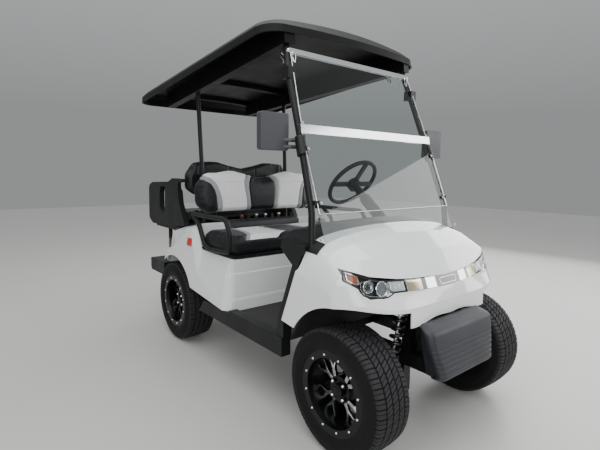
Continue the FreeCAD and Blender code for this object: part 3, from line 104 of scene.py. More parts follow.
camera = add_camera()
print("camera at", tuple(round(c, 3) for c in camera.location))

# %% [markdown]
# A plain pale floor and a few large soft lights stand in for a bright show room. Large lights give the
# long soft highlights that show how a panel curves, and the pale surroundings keep black parts readable.

# %% Colours and lights
WORLD_COLOUR = "#D9DBDC"
# Strength of the surroundings at the horizon and overhead: darker walls leave black parts black, and give
# bright metal something dark to mirror
WALL_STRENGTH, CEILING_STRENGTH = 0.42, 1.05
# The sky's height is 0 level with the ground and 1 overhead; the strength grows between these two
GROWS_FROM, GROWS_TO = 0.12, 0.85


def linear(colour):
    """An sRGB hex colour as the linear RGBA that shaders take."""
    channels = [int(colour[i:i + 2], 16) / 255 for i in (1, 3, 5)]
    return tuple(c / 12.92 if c <= 0.04045 else ((c + 0.055) / 1.055) ** 2.4 for c in channels) + (1.0,)


def add_world():
    """Soft light from all round that grows from the walls to the ceiling."""
    world = bpy.data.worlds.new("show_room")
    world.use_nodes = True
    tree = world.node_tree
    background = tree.nodes["Background"]
    background.inputs["Color"].default_value = linear(WORLD_COLOUR)
    height = tree.nodes.new("ShaderNodeSeparateXYZ")
    tree.links.new(tree.nodes.new("ShaderNodeTexCoord").outputs["Generated"], height.inputs[0])
    grade = tree.nodes.new("ShaderNodeMapRange")
    grade.inputs["From Min"].default_value = GROWS_FROM
    grade.inputs["From Max"].default_value = GROWS_TO
    grade.inputs["To Min"].default_value = WALL_STRENGTH
    grade.inputs["To Max"].default_value = CEILING_STRENGTH
    tree.links.new(height.outputs["Z"], grade.inputs["Value"])
    tree.links.new(grade.outputs["Result"], background.inputs["Strength"])
    bpy.context.scene.world = world


def add_light(name, place, target, size, power):
    """A soft square lamp that faces its target."""
    data = bpy.data.lights.new(name, "AREA")
    data.shape = "RECTANGLE"
    data.size, data.size_y = size
    data.energy = power
    lamp = bpy.data.objects.new(name, data)
    lamp.location = place
    lamp.rotation_euler = (Vector(target) - Vector(place)).to_track_quat("-Z", "Y").to_euler()
    bpy.context.scene.collection.objects.link(lamp)


add_world()
# name, place, target, size (m), power (W)
LIGHTS = [("ceiling_soft", (-0.6, -0.4, 4.6), (0.0, 0.0, 0.8), (5.0, 6.0), 200),
          ("window_right", (5.0, 0.5, 2.2), (0.0, 0.0, 0.8), (5.0, 3.0), 150),
          ("front_fill", (-3.6, -4.6, 2.4), (0.0, -0.4, 0.8), (3.5, 2.5), 110),
          ("window_front", (4.4, -3.9, 2.3), (0.0, -0.4, 0.9), (3.2, 2.6), 110)]
for name, place, target, size, power in LIGHTS:
    add_light(name, place, target, size, power)
print("lights:", len(LIGHTS))

# %% [markdown]
# Every finish is a small node graph. `join` sets or links the sockets of a node, and `add` makes a node
# with its settings. Patterns use object coordinates, so a grain of 1 mm is 1 mm on every part. A mix
# node has sockets of the same name for each data type, so a colour mix takes its sockets by place.

# %% Shader helpers
MIX_A, MIX_B, MIX_OUT = 6, 7, 2


def join(tree, node, inputs):
    """Give sockets of a node their values or links."""
    for socket, value in inputs.items():
        if isinstance(value, bpy.types.NodeSocket):
            tree.links.new(value, node.inputs[socket])
        else:
            node.inputs[socket].default_value = value


def add(tree, kind, inputs=None, **settings):
    """One shader node with its settings, its values and its links."""
    node = tree.nodes.new(kind)
    for name, value in settings.items():
        setattr(node, name, value)
    join(tree, node, inputs or {})
    return node


def begin(name):
    """A new material with its principled shader and the object's own coordinates."""
    material = bpy.data.materials.new(name)
    material.use_nodes = True
    tree = material.node_tree
    place = add(tree, "ShaderNodeTexCoord").outputs["Object"]
    return material, tree, tree.nodes["Principled BSDF"], place


def per_mm(size):
    """The texture scale that makes a feature this many millimetres wide."""
    return 1.0 / (size * MM)


# %% [markdown]
# Most of the cart is one of three kinds of surface: painted or powder-coated metal and glossy panels,
# moulded plastic with a leather-like grain, and bare metal. One table holds them all. Each gets a grain
# in the bump, a slow change of shine as from handling, softened edges, and a slightly paler edge where
# plastic and coating rub thin.

# %% Coated, moulded and cast finishes
# slot: material name, colour, patch colour, roughness, metal, coat, grain (mm), grain depth (mm),
# grain pattern, edge radius (mm), edge colour, and where it is duller than usual its specular level
FINISHES = {
    # Wet-looking white panels: almost no grain, and a clear coat that mirrors the lamps
    "white_body": ("painted_thermoplastic_white", "#EFF1F0", "#E6E9E9", 0.24, 0.0, 1.0, 5.0, 0.010,
                   "noise", 3.0, "#F8F8F6"),
    # Leather-grained plastic that breaks highlights into a soft sheen
    "black_trim": ("moulded_plastic_black", "#111214", "#161719", 0.52, 0.0, 0.0, 1.3, 0.10,
                   "cells", 2.0, "#232426", 0.35),
    # The bumper is a paler, bluer plastic than the rest
    "bumper_grey": ("moulded_plastic_charcoal", "#25272D", "#2B2D33", 0.50, 0.0, 0.0, 1.3, 0.10,
                    "cells", 2.0, "#3A3C42"),
    # Mirror shells: lighter grey plastic with the same grain
    "grey_mirror": ("moulded_plastic_grey", "#3A3B41", "#42434A", 0.48, 0.0, 0.0, 1.1, 0.08,
                    "cells", 8.0, "#5C5D62"),
    # Roof skin: sheet plastic that is smooth above and shows long soft highlights
    "roof_black": ("formed_sheet_black", "#060607", "#09090A", 0.50, 0.0, 0.0, 2.5, 0.03,
                   "noise", 4.0, "#121314", 0.22),
    # Powder-coated tube: a fine orange peel under an even satin shine
    "black_steel": ("powder_coat_black", "#0A0A0B", "#0E0E10", 0.46, 0.0, 0.0, 1.6, 0.04,
                    "noise", 1.5, "#1A1B1D", 0.35),
    # Glossy black paint on the wheels, with bright edges from the lathe
    "wheel_black": ("gloss_paint_black", "#050506", "#08090A", 0.30, 0.0, 0.1, 3.0, 0.01,
                    "noise", 0.8, "#131415", 0.25),
    # Spring paint on round wire: a tight highlight along every turn
    "coil_steel": ("spring_paint_black", "#101112", "#18191A", 0.30, 0.0, 0.4, 1.5, 0.03,
                   "noise", 0.8, "#2A2B2C"),
    # Sand-cast iron: coarse skin, dull, a trace of bare metal on the edges
    "axle_iron": ("cast_iron_painted", "#1B1B1C", "#232222", 0.62, 0.3, 0.0, 2.2, 0.25,
                  "noise", 1.5, "#3A3836"),
    # Cast aluminium left bare: pale metal, dulled by the skin that the sand mould leaves
    "motor_case": ("cast_aluminium", "#6A6B6D", "#5A5B5D", 0.48, 0.9, 0.0, 1.6, 0.12,
                   "noise", 1.5, "#8A8B8D"),
    # Polypropylene battery cases: even, waxy black with a fine grain
    "battery_case": ("battery_plastic", "#232427", "#2B2C30", 0.45, 0.0, 0.0, 1.8, 0.06,
                     "cells", 3.0, "#36373A"),
    # Soft foam grip: dull and slightly open-pored
    "wheel_grip": ("foam_grip_black", "#141415", "#1B1B1C", 0.62, 0.0, 0.0, 0.9, 0.12,
                   "cells", 3.0, "#242425"),
    # Hard moulded buckle shells: smooth, with a little gloss
    "buckle_black": ("buckle_plastic", "#161617", "#1C1C1D", 0.35, 0.0, 0.1, 1.0, 0.04,
                     "noise", 1.2, "#2C2C2D"),
    # High-gloss strip behind the bright sections: nearly a black mirror
    "chrome_band": ("gloss_strip_black", "#0C0D0E", "#121315", 0.12, 0.0, 1.0, 4.0, 0.01,
                    "noise", 1.0, "#222324"),
}


# Width of the slow patches of shine (mm), and how far the shine swings in them
PATCH_WIDTH = 140
SHINE_LOW, SHINE_HIGH = 0.88, 1.12
# An edge is fully rubbed where the cosine of its softened turn is down to this, and shows this much
RUBBED_TURN, RUBBED_SHARE = 0.90, 0.55
COAT_ROUGHNESS = 0.04
BEVEL_SAMPLES = 4


def coated(name, colour, patch, roughness, metal, coat, grain, depth, pattern, edge, rubbed, specular=0.5):
    """A coated, moulded or cast surface from its row of the table."""
    material, tree, shader, place = begin(name)
    slow = add(tree, "ShaderNodeTexNoise", {"Vector": place, "Scale": per_mm(PATCH_WIDTH), "Detail": 3.0})
    base = add(tree, "ShaderNodeMix", {0: slow.outputs["Fac"], MIX_A: linear(colour),
                                       MIX_B: linear(patch)}, data_type="RGBA")
    softened = add(tree, "ShaderNodeBevel", {"Radius": edge * MM}, samples=BEVEL_SAMPLES)
    flat = add(tree, "ShaderNodeNewGeometry").outputs["Normal"]
    turn = add(tree, "ShaderNodeVectorMath", {0: softened.outputs["Normal"], 1: flat},
               operation="DOT_PRODUCT")
    worn = add(tree, "ShaderNodeMapRange", {"Value": turn.outputs["Value"], "From Min": 1.0,
                                            "From Max": RUBBED_TURN, "To Max": RUBBED_SHARE})
    tint = add(tree, "ShaderNodeMix", {0: worn.outputs["Result"], MIX_A: base.outputs[MIX_OUT],
                                       MIX_B: linear(rubbed)}, data_type="RGBA")
    shine = add(tree, "ShaderNodeMapRange", {"Value": slow.outputs["Fac"], "From Min": 0.3,
                                             "From Max": 0.7, "To Min": roughness * SHINE_LOW,
                                             "To Max": roughness * SHINE_HIGH})
    if pattern == "cells":
        fine = add(tree, "ShaderNodeTexVoronoi", {"Vector": place, "Scale": per_mm(grain)})
        height = fine.outputs["Distance"]
    else:
        fine = add(tree, "ShaderNodeTexNoise", {"Vector": place, "Scale": per_mm(grain), "Detail": 2.0})
        height = fine.outputs["Fac"]
    bump = add(tree, "ShaderNodeBump", {"Height": height, "Distance": depth * MM,
                                        "Normal": softened.outputs["Normal"]})
    join(tree, shader, {"Base Color": tint.outputs[MIX_OUT], "Roughness": shine.outputs["Result"],
                        "Normal": bump.outputs["Normal"]})
    shader.inputs["Metallic"].default_value = metal
    shader.inputs["Specular IOR Level"].default_value = specular
    shader.inputs["Coat Weight"].default_value = coat
    shader.inputs["Coat Roughness"].default_value = COAT_ROUGHNESS
    return material


materials = {slot: coated(*row) for slot, row in FINISHES.items()}
print("table finishes:", len(materials))

# %% [markdown]
# Brushed, turned and plated metals share one thing: their finest lines run in one direction and stretch
# each highlight across it. The shader has a setting for that, but it needs a direction on every face, and
# these parts have no texture layout to take it from. Noise that is squeezed along one axis of the object
# gives the same look from the bump alone.

# %% Bare metal
# Width and length of one line, and of the slow patches of shine, in mm
LINE_WIDTH, LINE_LENGTH = 0.5, 60
METAL_PATCH = 90
METAL_EDGE = 1.2


def brushed(name, colour, roughness, along, depth):
    """Metal with fine lines along one axis, which stretch each highlight across them."""
    material, tree, shader, place = begin(name)
    squeeze = [per_mm(LINE_WIDTH)] * 3
    squeeze[along] = per_mm(LINE_LENGTH)
    lines = add(tree, "ShaderNodeVectorMath", {0: place, 1: squeeze}, operation="MULTIPLY")
    noise = add(tree, "ShaderNodeTexNoise", {"Vector": lines.outputs[0], "Scale": 1.0, "Detail": 3.0})
    slow = add(tree, "ShaderNodeTexNoise", {"Vector": place, "Scale": per_mm(METAL_PATCH)})
    shine = add(tree, "ShaderNodeMapRange", {"Value": slow.outputs["Fac"], "From Min": 0.3,
                                             "From Max": 0.7, "To Min": roughness * 0.8,
                                             "To Max": roughness * 1.25})
    edge = add(tree, "ShaderNodeBevel", {"Radius": METAL_EDGE * MM}, samples=BEVEL_SAMPLES)
    bump = add(tree, "ShaderNodeBump", {"Height": noise.outputs["Fac"], "Distance": depth * MM,
                                        "Normal": edge.outputs["Normal"]})
    join(tree, shader, {"Roughness": shine.outputs["Result"], "Normal": bump.outputs["Normal"]})
    shader.inputs["Base Color"].default_value = linear(colour)
    shader.inputs["Metallic"].default_value = 1.0
    return material


# Anodised screen bar: satin, with lines along the bar
materials["screen_bar"] = brushed("anodised_aluminium", "#E6E8EA", 0.16, 0, 0.02)
# Polished chrome: sharp reflections with only a hint of waviness
chrome = brushed("polished_chrome", "#E2E4E6", 0.07, 2, 0.003)
# Faces cut on the lathe after painting: bright, with turning lines
machined = brushed("machined_aluminium", "#EDEFF1", 0.26, 0, 0.015)
# Zinc-plated bolts and shafts: duller and slightly warm
zinc = brushed("zinc_plate", "#BFBDB6", 0.32, 2, 0.02)
# Metallised plastic in a warm tone, between the lamps and the black divider
cream_chrome = brushed("warm_metallised_plastic", "#EFE3C4", 0.16, 2, 0.004)
# Satin reflector behind the lens: almost white, so the lamp's inner end looks lit
lamp_white = brushed("satin_reflector", "#F2F4F6", 0.34, 0, 0.01)
# Bright metal along the screen's cut edges: a painted highlight for the light that the acrylic edge pipes
painted_edge_highlight = brushed("edge_highlight_metal", "#F4F8F8", 0.20, 2, 0.01)
print("brushed, plated and polished finishes: 7")

# %% [markdown]
# The seats are covered in vinyl: cloth with a soft plastic skin that is pressed with a leather grain, then
# sewn together from white, grey and black panels. Three materials on three sets of faces would leave a
# jagged border, so each point of the cushion stores how far it is inside the white and the grey, and the
# shader cuts the colours where that distance is zero. The border is then sharp between the points too.

# %% Vinyl in three colours
VINYL_WHITE, VINYL_GREY, VINYL_BLACK = "#ECEDEB", "#9A9C9F", "#101116"
# One pebble of the grain and one pull of the stretched cover: width and depth in mm
PEBBLE_WIDTH, PEBBLE_DEPTH = 1.6, 0.35
PULL_WIDTH, PULL_DEPTH = 26, 1.2
# Half the width in which one panel's colour turns into the next (m)
BORDER_BLUR = 0.0006


def vinyl(name, zoned):
    """Leather-grained vinyl: creases between pebbles, satin sheen, painted shade and light that follow the
    pull of the cover, white and grey panels if zoned.
    """
    material, tree, shader, place = begin(name)
    pebble = add(tree, "ShaderNodeTexVoronoi", {"Vector": place, "Scale": per_mm(PEBBLE_WIDTH)},
                 feature="DISTANCE_TO_EDGE")
    pull = add(tree, "ShaderNodeTexNoise", {"Vector": place, "Scale": per_mm(PULL_WIDTH), "Detail": 4.0})
    height = add(tree, "ShaderNodeMath", {0: pebble.outputs["Distance"], 1: 0.25}, operation="MINIMUM")
    fine = add(tree, "ShaderNodeBump", {"Height": height.outputs[0], "Distance": PEBBLE_DEPTH * MM})
    bump = add(tree, "ShaderNodeBump", {"Height": pull.outputs["Fac"], "Distance": PULL_DEPTH * MM,
                                        "Normal": fine.outputs["Normal"]})
    # Painted shade and light: the cover is darker in the dips of its pull and a little lighter on its rises
    painted_pull_shade = add(tree, "ShaderNodeMapRange", {"Value": pull.outputs["Fac"], "To Min": 0.93,
                                             "To Max": 1.05})
    colour = linear(VINYL_BLACK)
    if zoned:
        white = add(tree, "ShaderNodeAttribute", attribute_name="white_panel").outputs["Fac"]
        grey = add(tree, "ShaderNodeAttribute", attribute_name="grey_band").outputs["Fac"]
        steps = []
        for distance in (grey, white):
            steps.append(add(tree, "ShaderNodeMapRange", {"Value": distance, "From Min": -BORDER_BLUR,
                                                          "From Max": BORDER_BLUR}).outputs["Result"])
        banded = add(tree, "ShaderNodeMix", {0: steps[0], MIX_A: linear(VINYL_BLACK),
                                             MIX_B: linear(VINYL_GREY)}, data_type="RGBA")
        panels = add(tree, "ShaderNodeMix", {0: steps[1], MIX_A: banded.outputs[MIX_OUT],
                                             MIX_B: linear(VINYL_WHITE)}, data_type="RGBA")
        colour = panels.outputs[MIX_OUT]
    tint = add(tree, "ShaderNodeHueSaturation", {"Value": painted_pull_shade.outputs["Result"], "Color": colour})
    shine = add(tree, "ShaderNodeMapRange", {"Value": pull.outputs["Fac"], "To Min": 0.38, "To Max": 0.52})
    join(tree, shader, {"Base Color": tint.outputs["Color"], "Roughness": shine.outputs["Result"],
                        "Normal": bump.outputs["Normal"]})
    shader.inputs["Sheen Weight"].default_value = 0.05
    shader.inputs["Specular IOR Level"].default_value = 0.35
    return material


materials["seat_vinyl"] = vinyl("seat_vinyl_panels", True)
materials["seat_vinyl_black"] = vinyl("seat_vinyl_plain", False)
print("vinyl: panelled and plain")

# %% [markdown]
# Tyre rubber is black, dull and never clean. The tops of the blocks are paler, while the sidewalls
# and the floors of the grooves stay dark, and dust settles in patches. The tyre mesh marks the tops with a
# number at each point, and the shader turns it into the paler colour.

# %% Tread rubber
# Sidewalls and grooves are nearly black; the tops of the blocks are paler
RUBBER, RUBBER_DUST, RUBBER_TOPS = "#0C0C0E", "#1E1D1B", "#2C2C2E"
# Radius of the blocks' worn edges, in mm
RUBBER_EDGE = 0.8


def rubber(name):
    """Tyre rubber: dull and fine-grained, with a trace of dust that gathers on rough places."""
    material, tree, shader, place = begin(name)
    dust = add(tree, "ShaderNodeTexNoise", {"Vector": place, "Scale": per_mm(45), "Detail": 6.0})
    much = add(tree, "ShaderNodeMapRange", {"Value": dust.outputs["Fac"], "From Min": 0.52,
                                            "From Max": 0.80, "To Max": 0.35})
    # Marks on the tops of the blocks, which take the paler colour; sidewalls and groove floors keep the dark
    # one
    paler_top_share = add(tree, "ShaderNodeAttribute", attribute_name="paler_tops").outputs["Fac"]
    base = add(tree, "ShaderNodeMix", {0: paler_top_share, MIX_A: linear(RUBBER), MIX_B: linear(RUBBER_TOPS)},
               data_type="RGBA")
    tint = add(tree, "ShaderNodeMix", {0: much.outputs["Result"], MIX_A: base.outputs[MIX_OUT],
                                       MIX_B: linear(RUBBER_DUST)}, data_type="RGBA")
    grain = add(tree, "ShaderNodeTexNoise", {"Vector": place, "Scale": per_mm(1.2), "Detail": 3.0})
    edge = add(tree, "ShaderNodeBevel", {"Radius": RUBBER_EDGE * MM}, samples=BEVEL_SAMPLES)
    bump = add(tree, "ShaderNodeBump", {"Height": grain.outputs["Fac"], "Distance": 0.12 * MM,
                                        "Normal": edge.outputs["Normal"]})
    shine = add(tree, "ShaderNodeMapRange", {"Value": dust.outputs["Fac"], "To Min": 0.55, "To Max": 0.80})
    join(tree, shader, {"Base Color": tint.outputs[MIX_OUT], "Roughness": shine.outputs["Result"],
                        "Normal": bump.outputs["Normal"]})
    shader.inputs["Specular IOR Level"].default_value = 0.25
    return material


materials["tyre_rubber"] = rubber("road_tyre_rubber")
print("tread rubber from", RUBBER, "to", RUBBER_TOPS)

# %% [markdown]
# A moulded rubber mat with ribs along the cart covers the floor. The ribs are 2 mm high and are only seen
# at a shallow angle, past the seat, so they are a wave in the bump and not faces of their own. Dust stays
# between them where no shoe rubs it off.

# %% Ribbed mat
MAT_PITCH, MAT_RIB_HEIGHT = 12.0, 2.0
MAT_DUSTY, MAT_CLEAN = "#262524", "#161617"


def ribbed(name):
    """Rubber mat whose ribs run along the cart, dusty between them."""
    material, tree, shader, place = begin(name)
    ribs = add(tree, "ShaderNodeTexWave", {"Vector": place, "Scale": per_mm(MAT_PITCH) / math.tau * 2},
               bands_direction="X", wave_profile="SIN")
    dust = add(tree, "ShaderNodeTexNoise", {"Vector": place, "Scale": per_mm(60), "Detail": 5.0})
    low = add(tree, "ShaderNodeMath", {0: ribs.outputs["Fac"], 1: dust.outputs["Fac"]}, operation="SUBTRACT")
    tint = add(tree, "ShaderNodeMix", {0: low.outputs[0], MIX_A: linear(MAT_DUSTY),
                                       MIX_B: linear(MAT_CLEAN)}, data_type="RGBA")
    grain = add(tree, "ShaderNodeTexNoise", {"Vector": place, "Scale": per_mm(1.5), "Detail": 2.0})
    tall = add(tree, "ShaderNodeBump", {"Height": ribs.outputs["Fac"], "Distance": MAT_RIB_HEIGHT * MM})
    bump = add(tree, "ShaderNodeBump", {"Height": grain.outputs["Fac"], "Distance": 0.15 * MM,
                                        "Normal": tall.outputs["Normal"]})
    join(tree, shader, {"Base Color": tint.outputs[MIX_OUT], "Normal": bump.outputs["Normal"]})
    shader.inputs["Roughness"].default_value = 0.72
    return material


materials["floor_rubber"] = ribbed("ribbed_rubber_mat")
print("mat ribs every", MAT_PITCH, "mm")

# %% [markdown]
# The screen is acrylic sheet and the lamp covers are polycarbonate. A glass shader bends light at each
# face of a thin sheet and darkens what lies behind it, so both are a mix of a see-through shader and a
# mirror, shared out by the angle of view as on the real sheet. Only faces that look outwards mirror, or
# each sheet would reflect twice.

# %% Clear sheet
SHEET_IOR = 1.49


def clear_sheet(name, colour, smear):
    """Thin clear sheet: see-through, with a reflection that grows towards a grazing view."""
    material, tree, shader, place = begin(name)
    tree.nodes.remove(shader)
    output = tree.nodes["Material Output"]
    haze = add(tree, "ShaderNodeTexNoise", {"Vector": place, "Scale": per_mm(70), "Detail": 5.0})
    rough = add(tree, "ShaderNodeMapRange", {"Value": haze.outputs["Fac"], "From Min": 0.4,
                                             "To Min": 0.01, "To Max": smear})
    facing = add(tree, "ShaderNodeFresnel", {"IOR": SHEET_IOR})
    inside = add(tree, "ShaderNodeNewGeometry").outputs["Backfacing"]
    entering = add(tree, "ShaderNodeMath", {0: 1.0, 1: inside}, operation="SUBTRACT")
    share = add(tree, "ShaderNodeMath", {0: facing.outputs["Fac"], 1: entering.outputs[0]},
                operation="MULTIPLY")
    through = add(tree, "ShaderNodeBsdfTransparent", {"Color": linear(colour)})
    mirror = add(tree, "ShaderNodeBsdfAnisotropic", {"Roughness": rough.outputs["Result"]})
    both = add(tree, "ShaderNodeMixShader", {0: share.outputs[0], 1: through.outputs["BSDF"],
                                             2: mirror.outputs["BSDF"]})
    tree.links.new(both.outputs["Shader"], output.inputs["Surface"])
    return material


# Acrylic screen: a cool tint and faint wiping marks in the reflection
materials["screen_clear"] = clear_sheet("acrylic_screen", "#EEF2F2", 0.12)
materials["lamp_lens"] = clear_sheet("polycarbonate_lens", "#F6F8F8", 0.03)
print("clear finishes: screen and lamp cover")

# %% [markdown]
# Signal and tail lamp lenses are coloured acrylic, moulded on the inside into rows of small prisms. The
# prisms are a cell pattern with square cells in the bump and the colour. They are kept shallow and fine,
# so that at a distance the lens reads as one colour.

# %% Prism lenses
# Depth of a prism as a share of its width
PRISM_DEPTH = 0.08
PRISM_ROUGHNESS = 0.42


def prism_lens(name, colour, deep, cell):
    """Coloured lens moulded into small prisms of a given width in mm."""
    material, tree, shader, place = begin(name)
    prisms = add(tree, "ShaderNodeTexVoronoi", {"Vector": place, "Scale": per_mm(cell)},
                 distance="CHEBYCHEV", feature="F1")
    tint = add(tree, "ShaderNodeMix", {0: prisms.outputs["Distance"], MIX_A: linear(colour),
                                       MIX_B: linear(deep)}, data_type="RGBA")
    bump = add(tree, "ShaderNodeBump", {"Height": prisms.outputs["Distance"],
                                        "Distance": PRISM_DEPTH * cell * MM})
    join(tree, shader, {"Base Color": tint.outputs[MIX_OUT], "Normal": bump.outputs["Normal"]})
    shader.inputs["Roughness"].default_value = PRISM_ROUGHNESS
    return material


amber = prism_lens("prism_lens_amber", "#C0662E", "#8C3E1C", 1.8)
reflector_red = prism_lens("prism_reflector_red", "#E0241C", "#B01410", 1.6)
materials["lamp_red"] = prism_lens("tail_lamp_and_housing", "#D81E1A", "#8A0C0C", 4.0)
print("prism lenses: amber, reflector and tail lamp")

# %% [markdown]
# A few parts are one solid in the CAD model but two materials in real life: a mirror is a grey shell on
# black arms, and a tail lamp is a red lens on a black housing. Their faces could be sorted by hand, but
# the shader can choose the colour by place, which needs only one number for each part.

# %% Two-toned parts and small plastics
BLACK_PLASTIC = "#0B0B0C"
# Distance from the middle at which a mirror's shell begins, and thickness of a tail lamp's lens (m)
MIRROR_SHELL_FROM = 0.5585
TAIL_LENS_THICKNESS = 0.012


def two_tone(material, other, axis, bound, mirrored):
    """Give a finish another colour where a coordinate, or its distance from the middle, is below a bound."""
    tree = material.node_tree
    shader = tree.nodes["Principled BSDF"]
    outer = shader.inputs["Base Color"].links[0].from_socket
    place = add(tree, "ShaderNodeTexCoord").outputs["Object"]
    value = add(tree, "ShaderNodeSeparateXYZ", {0: place}).outputs[axis]
    if mirrored:
        value = add(tree, "ShaderNodeMath", {0: value}, operation="ABSOLUTE").outputs[0]
    below = add(tree, "ShaderNodeMath", {0: value, 1: bound}, operation="LESS_THAN")
    tint = add(tree, "ShaderNodeMix", {0: below.outputs[0], MIX_A: outer, MIX_B: linear(other)},
               data_type="RGBA")
    join(tree, shader, {"Base Color": tint.outputs[MIX_OUT]})


two_tone(materials["grey_mirror"], BLACK_PLASTIC, "X", MIRROR_SHELL_FROM, True)
two_tone(materials["lamp_red"], BLACK_PLASTIC, "Y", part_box("tail_lamps")[1][1] - TAIL_LENS_THICKNESS, False)
# Smooth glossy plastic of a belt button, and the grained plastic of the steering wheel's hub
button_red = coated("moulded_plastic_red", "#B81820", "#A01018", 0.34, 0.0, 0.2, 1.2, 0.03, "noise", 0.8,
                    "#D0484C")
hub_grey = coated("moulded_plastic_mid_grey", "#6A6C70", "#606266", 0.44, 0.0, 0.0, 1.1, 0.06, "cells", 3.0,
                  "#808286")
print("finishes:", len(materials))

# %% [markdown]
# Each carried-over CAD node now gets the finish of its slot in the record. Only the material changes: the
# mesh and its place stay as the CAD model gives them.

# %% Finish the CAD nodes
slot_of = {row["node"]: row["material_slot"] for row in frame["record"]["subparts"]}
for name, node in frame["nodes"].items():
    for holder in node.material_slots:
        holder.material = materials[slot_of[name]]
print("nodes finished:", len(slot_of))

# %% [markdown]
# The added pieces are made from points in code, because their sizes then stand in the script and come out
# the same each time. `make_piece` turns points and faces into an object with a finish and names the body
# that carries it. `lathe` turns an outline round an axis, for bolts, bowls and caps, and `sweep` runs a
# round section along a line, for coils, hooks and ribs. Both stack rings of points, as `ring_faces` says.

# %% Mesh helpers


def make_piece(name, points, faces, material, body, slot, sharp=40.0):
    """An object from points and faces that rides on a body and is smooth up to a sharp angle."""
    mesh = bpy.data.meshes.new(name)
    mesh.from_pydata([tuple(point) for point in points], [], faces)
    mesh.materials.append(material)
    mesh.shade_smooth()
    piece = bpy.data.objects.new(name, mesh)
    bpy.context.scene.collection.objects.link(piece)
    crease(mesh, sharp)
    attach(piece, body)
    return piece


def crease(mesh, sharp):
    """Outward faces and sharp edges above an angle in degrees."""
    work = bmesh.new()
    work.from_mesh(mesh)
    bmesh.ops.recalc_face_normals(work, faces=work.faces)
    for edge in work.edges:
        edge.smooth = len(edge.link_faces) == 2 and edge.calc_face_angle(0) < math.radians(sharp)
    work.to_mesh(mesh)
    work.free()


def frame_along(direction):
    """Two axes square to a direction."""
    forward = Vector(direction).normalized()
    side = forward.orthogonal().normalized()
    return side, forward.cross(side)


def ring_faces(rows, count):
    """Faces between rings of points that are stacked one after another."""
    faces = []
    for row in range(rows - 1):
        for column in range(count):
            after = (column + 1) % count
            faces.append((row * count + column, row * count + after,
                          (row + 1) * count + after, (row + 1) * count + column))
    return faces


def closed_rings(rows, count):
    """The same faces, with the first and the last ring closed."""
    first = tuple(range(count))
    last = tuple((rows - 1) * count + column for column in range(count))
    return ring_faces(rows, count) + [first, last]


def lathe(outline, place, axis, steps=24):
    """Points and faces of an outline of (distance along the axis, radius), turned round the axis."""
    axis = Vector(axis).normalized()
    side, other = frame_along(axis)
    points = []
    for along, radius in outline:
        for step in range(steps):
            turn = math.tau * step / steps
            spoke = side * math.cos(turn) + other * math.sin(turn)
            points.append(Vector(place) + axis * along + spoke * radius)
    return points, closed_rings(len(outline), steps)


def sweep(line, radius, steps=10):
    """Points and faces of a round bar along a line of points, closed at both ends."""
    line = [Vector(point) for point in line]
    points = []
    side, other = frame_along(line[1] - line[0])
    for index, point in enumerate(line):
        ahead = (line[min(index + 1, len(line) - 1)] - line[max(index - 1, 0)]).normalized()
        side = (side - ahead * side.dot(ahead)).normalized()
        other = ahead.cross(side)
        for step in range(steps):
            turn = math.tau * step / steps
            points.append(point + (side * math.cos(turn) + other * math.sin(turn)) * radius)
    return points, closed_rings(len(line), steps)


def joined(*parts):
    """Several lots of points and faces as one."""
    points, faces = [], []
    for more_points, more_faces in parts:
        start = len(points)
        points += more_points
        faces += [tuple(index + start for index in face) for face in more_faces]
    return points, faces


# %% [markdown]
# A road tyre's tread repeats a short pitch many times round. One pitch could be modelled, copied and bent
# into a circle, but its ends would have to meet exactly. Here the whole tyre is one grid round the wheel,
# which closes by itself. Each pitch has eight columns, placed so that the walls of a slot are steep, and
# each rib turns its columns by its own slant. Four grooves run round, the middle ribs have slanted blocks,
# and the shoulders have straight sipes.

# %% Tread pattern
PITCHES = 44
GROOVE_DEPTH = 7.5 * MM
# Where the eight columns of a pitch stand, as shares of it, and which of them are at a slot's floor
COLUMNS = [0.0, 0.02, 0.14, 0.16, 0.50, 0.515, 0.565, 0.58]
SLOT_FLOOR = [0, 1, 1, 0, 0, 1, 1, 0]
# A rib of the tread: outer and inner edge (mm from the middle), slant (mm of turn per mm across),
# start of its slots (share of a pitch), depth of its main slot and of its sipe (mm)
RIBS = [(-92, -61, 0.10, 0.0, 5.5, 4.0), (-52, -24, -0.55, 0.25, 5.5, 2.5), (-15, 15, -0.55, 0.6, 5.0, 2.0),
        (24, 52, -0.55, 0.05, 5.5, 2.5), (61, 92, 0.10, 0.5, 5.5, 4.0)]
WALL_LEAN = 2.0
# Sidewall rows from the bead out: mm from the middle plane and below the crown
BEAD_ROWS = [(84, 116), (91, 113), (95, 103), (101, 95), (106, 84), (109.2, 70), (110.0, 62), (109.0, 60.5),
             (109.4, 52), (108.4, 50.5), (107.0, 38), (105.0, 29)]
SHOULDER_ROWS = [(102.0, 22, 0.4), (98.0, 13, 1.0)]
CROWN_RADIUS = 760.0


def crown(across):
    """How far the tread lies below the crown at a distance from the middle, in mm."""
    return across * across / (2 * CROWN_RADIUS)


def tread_rows():
    """Rows across the tyre: mm from the middle, mm below the crown, rib, and share of the slot depth."""
    rows = [(-x, drop, None, 0.0) for x, drop in BEAD_ROWS]
    rows += [(-x, drop, 0, share) for x, drop, share in SHOULDER_ROWS]
    for index, (low, high, slant, start, slot, sipe) in enumerate(RIBS):
        rows.append((low, crown(low), index, 1.0))
        rows.append(((low + high) / 2, crown((low + high) / 2), index, 1.0))
        rows.append((high, crown(high), index, 1.0))
        if index < len(RIBS) - 1:
            far = RIBS[index + 1][0]
            rows.append((high + WALL_LEAN, crown(high) + GROOVE_DEPTH / MM, index, 0.0))
            rows.append((far - WALL_LEAN, crown(far) + GROOVE_DEPTH / MM, index + 1, 0.0))
    rows += [(x, drop, len(RIBS) - 1, share) for x, drop, share in reversed(SHOULDER_ROWS)]
    return rows + [(x, drop, None, 0.0) for x, drop in reversed(BEAD_ROWS)]


print("tread rows:", len(tread_rows()), "with", PITCHES, "pitches")

# %% Tyres


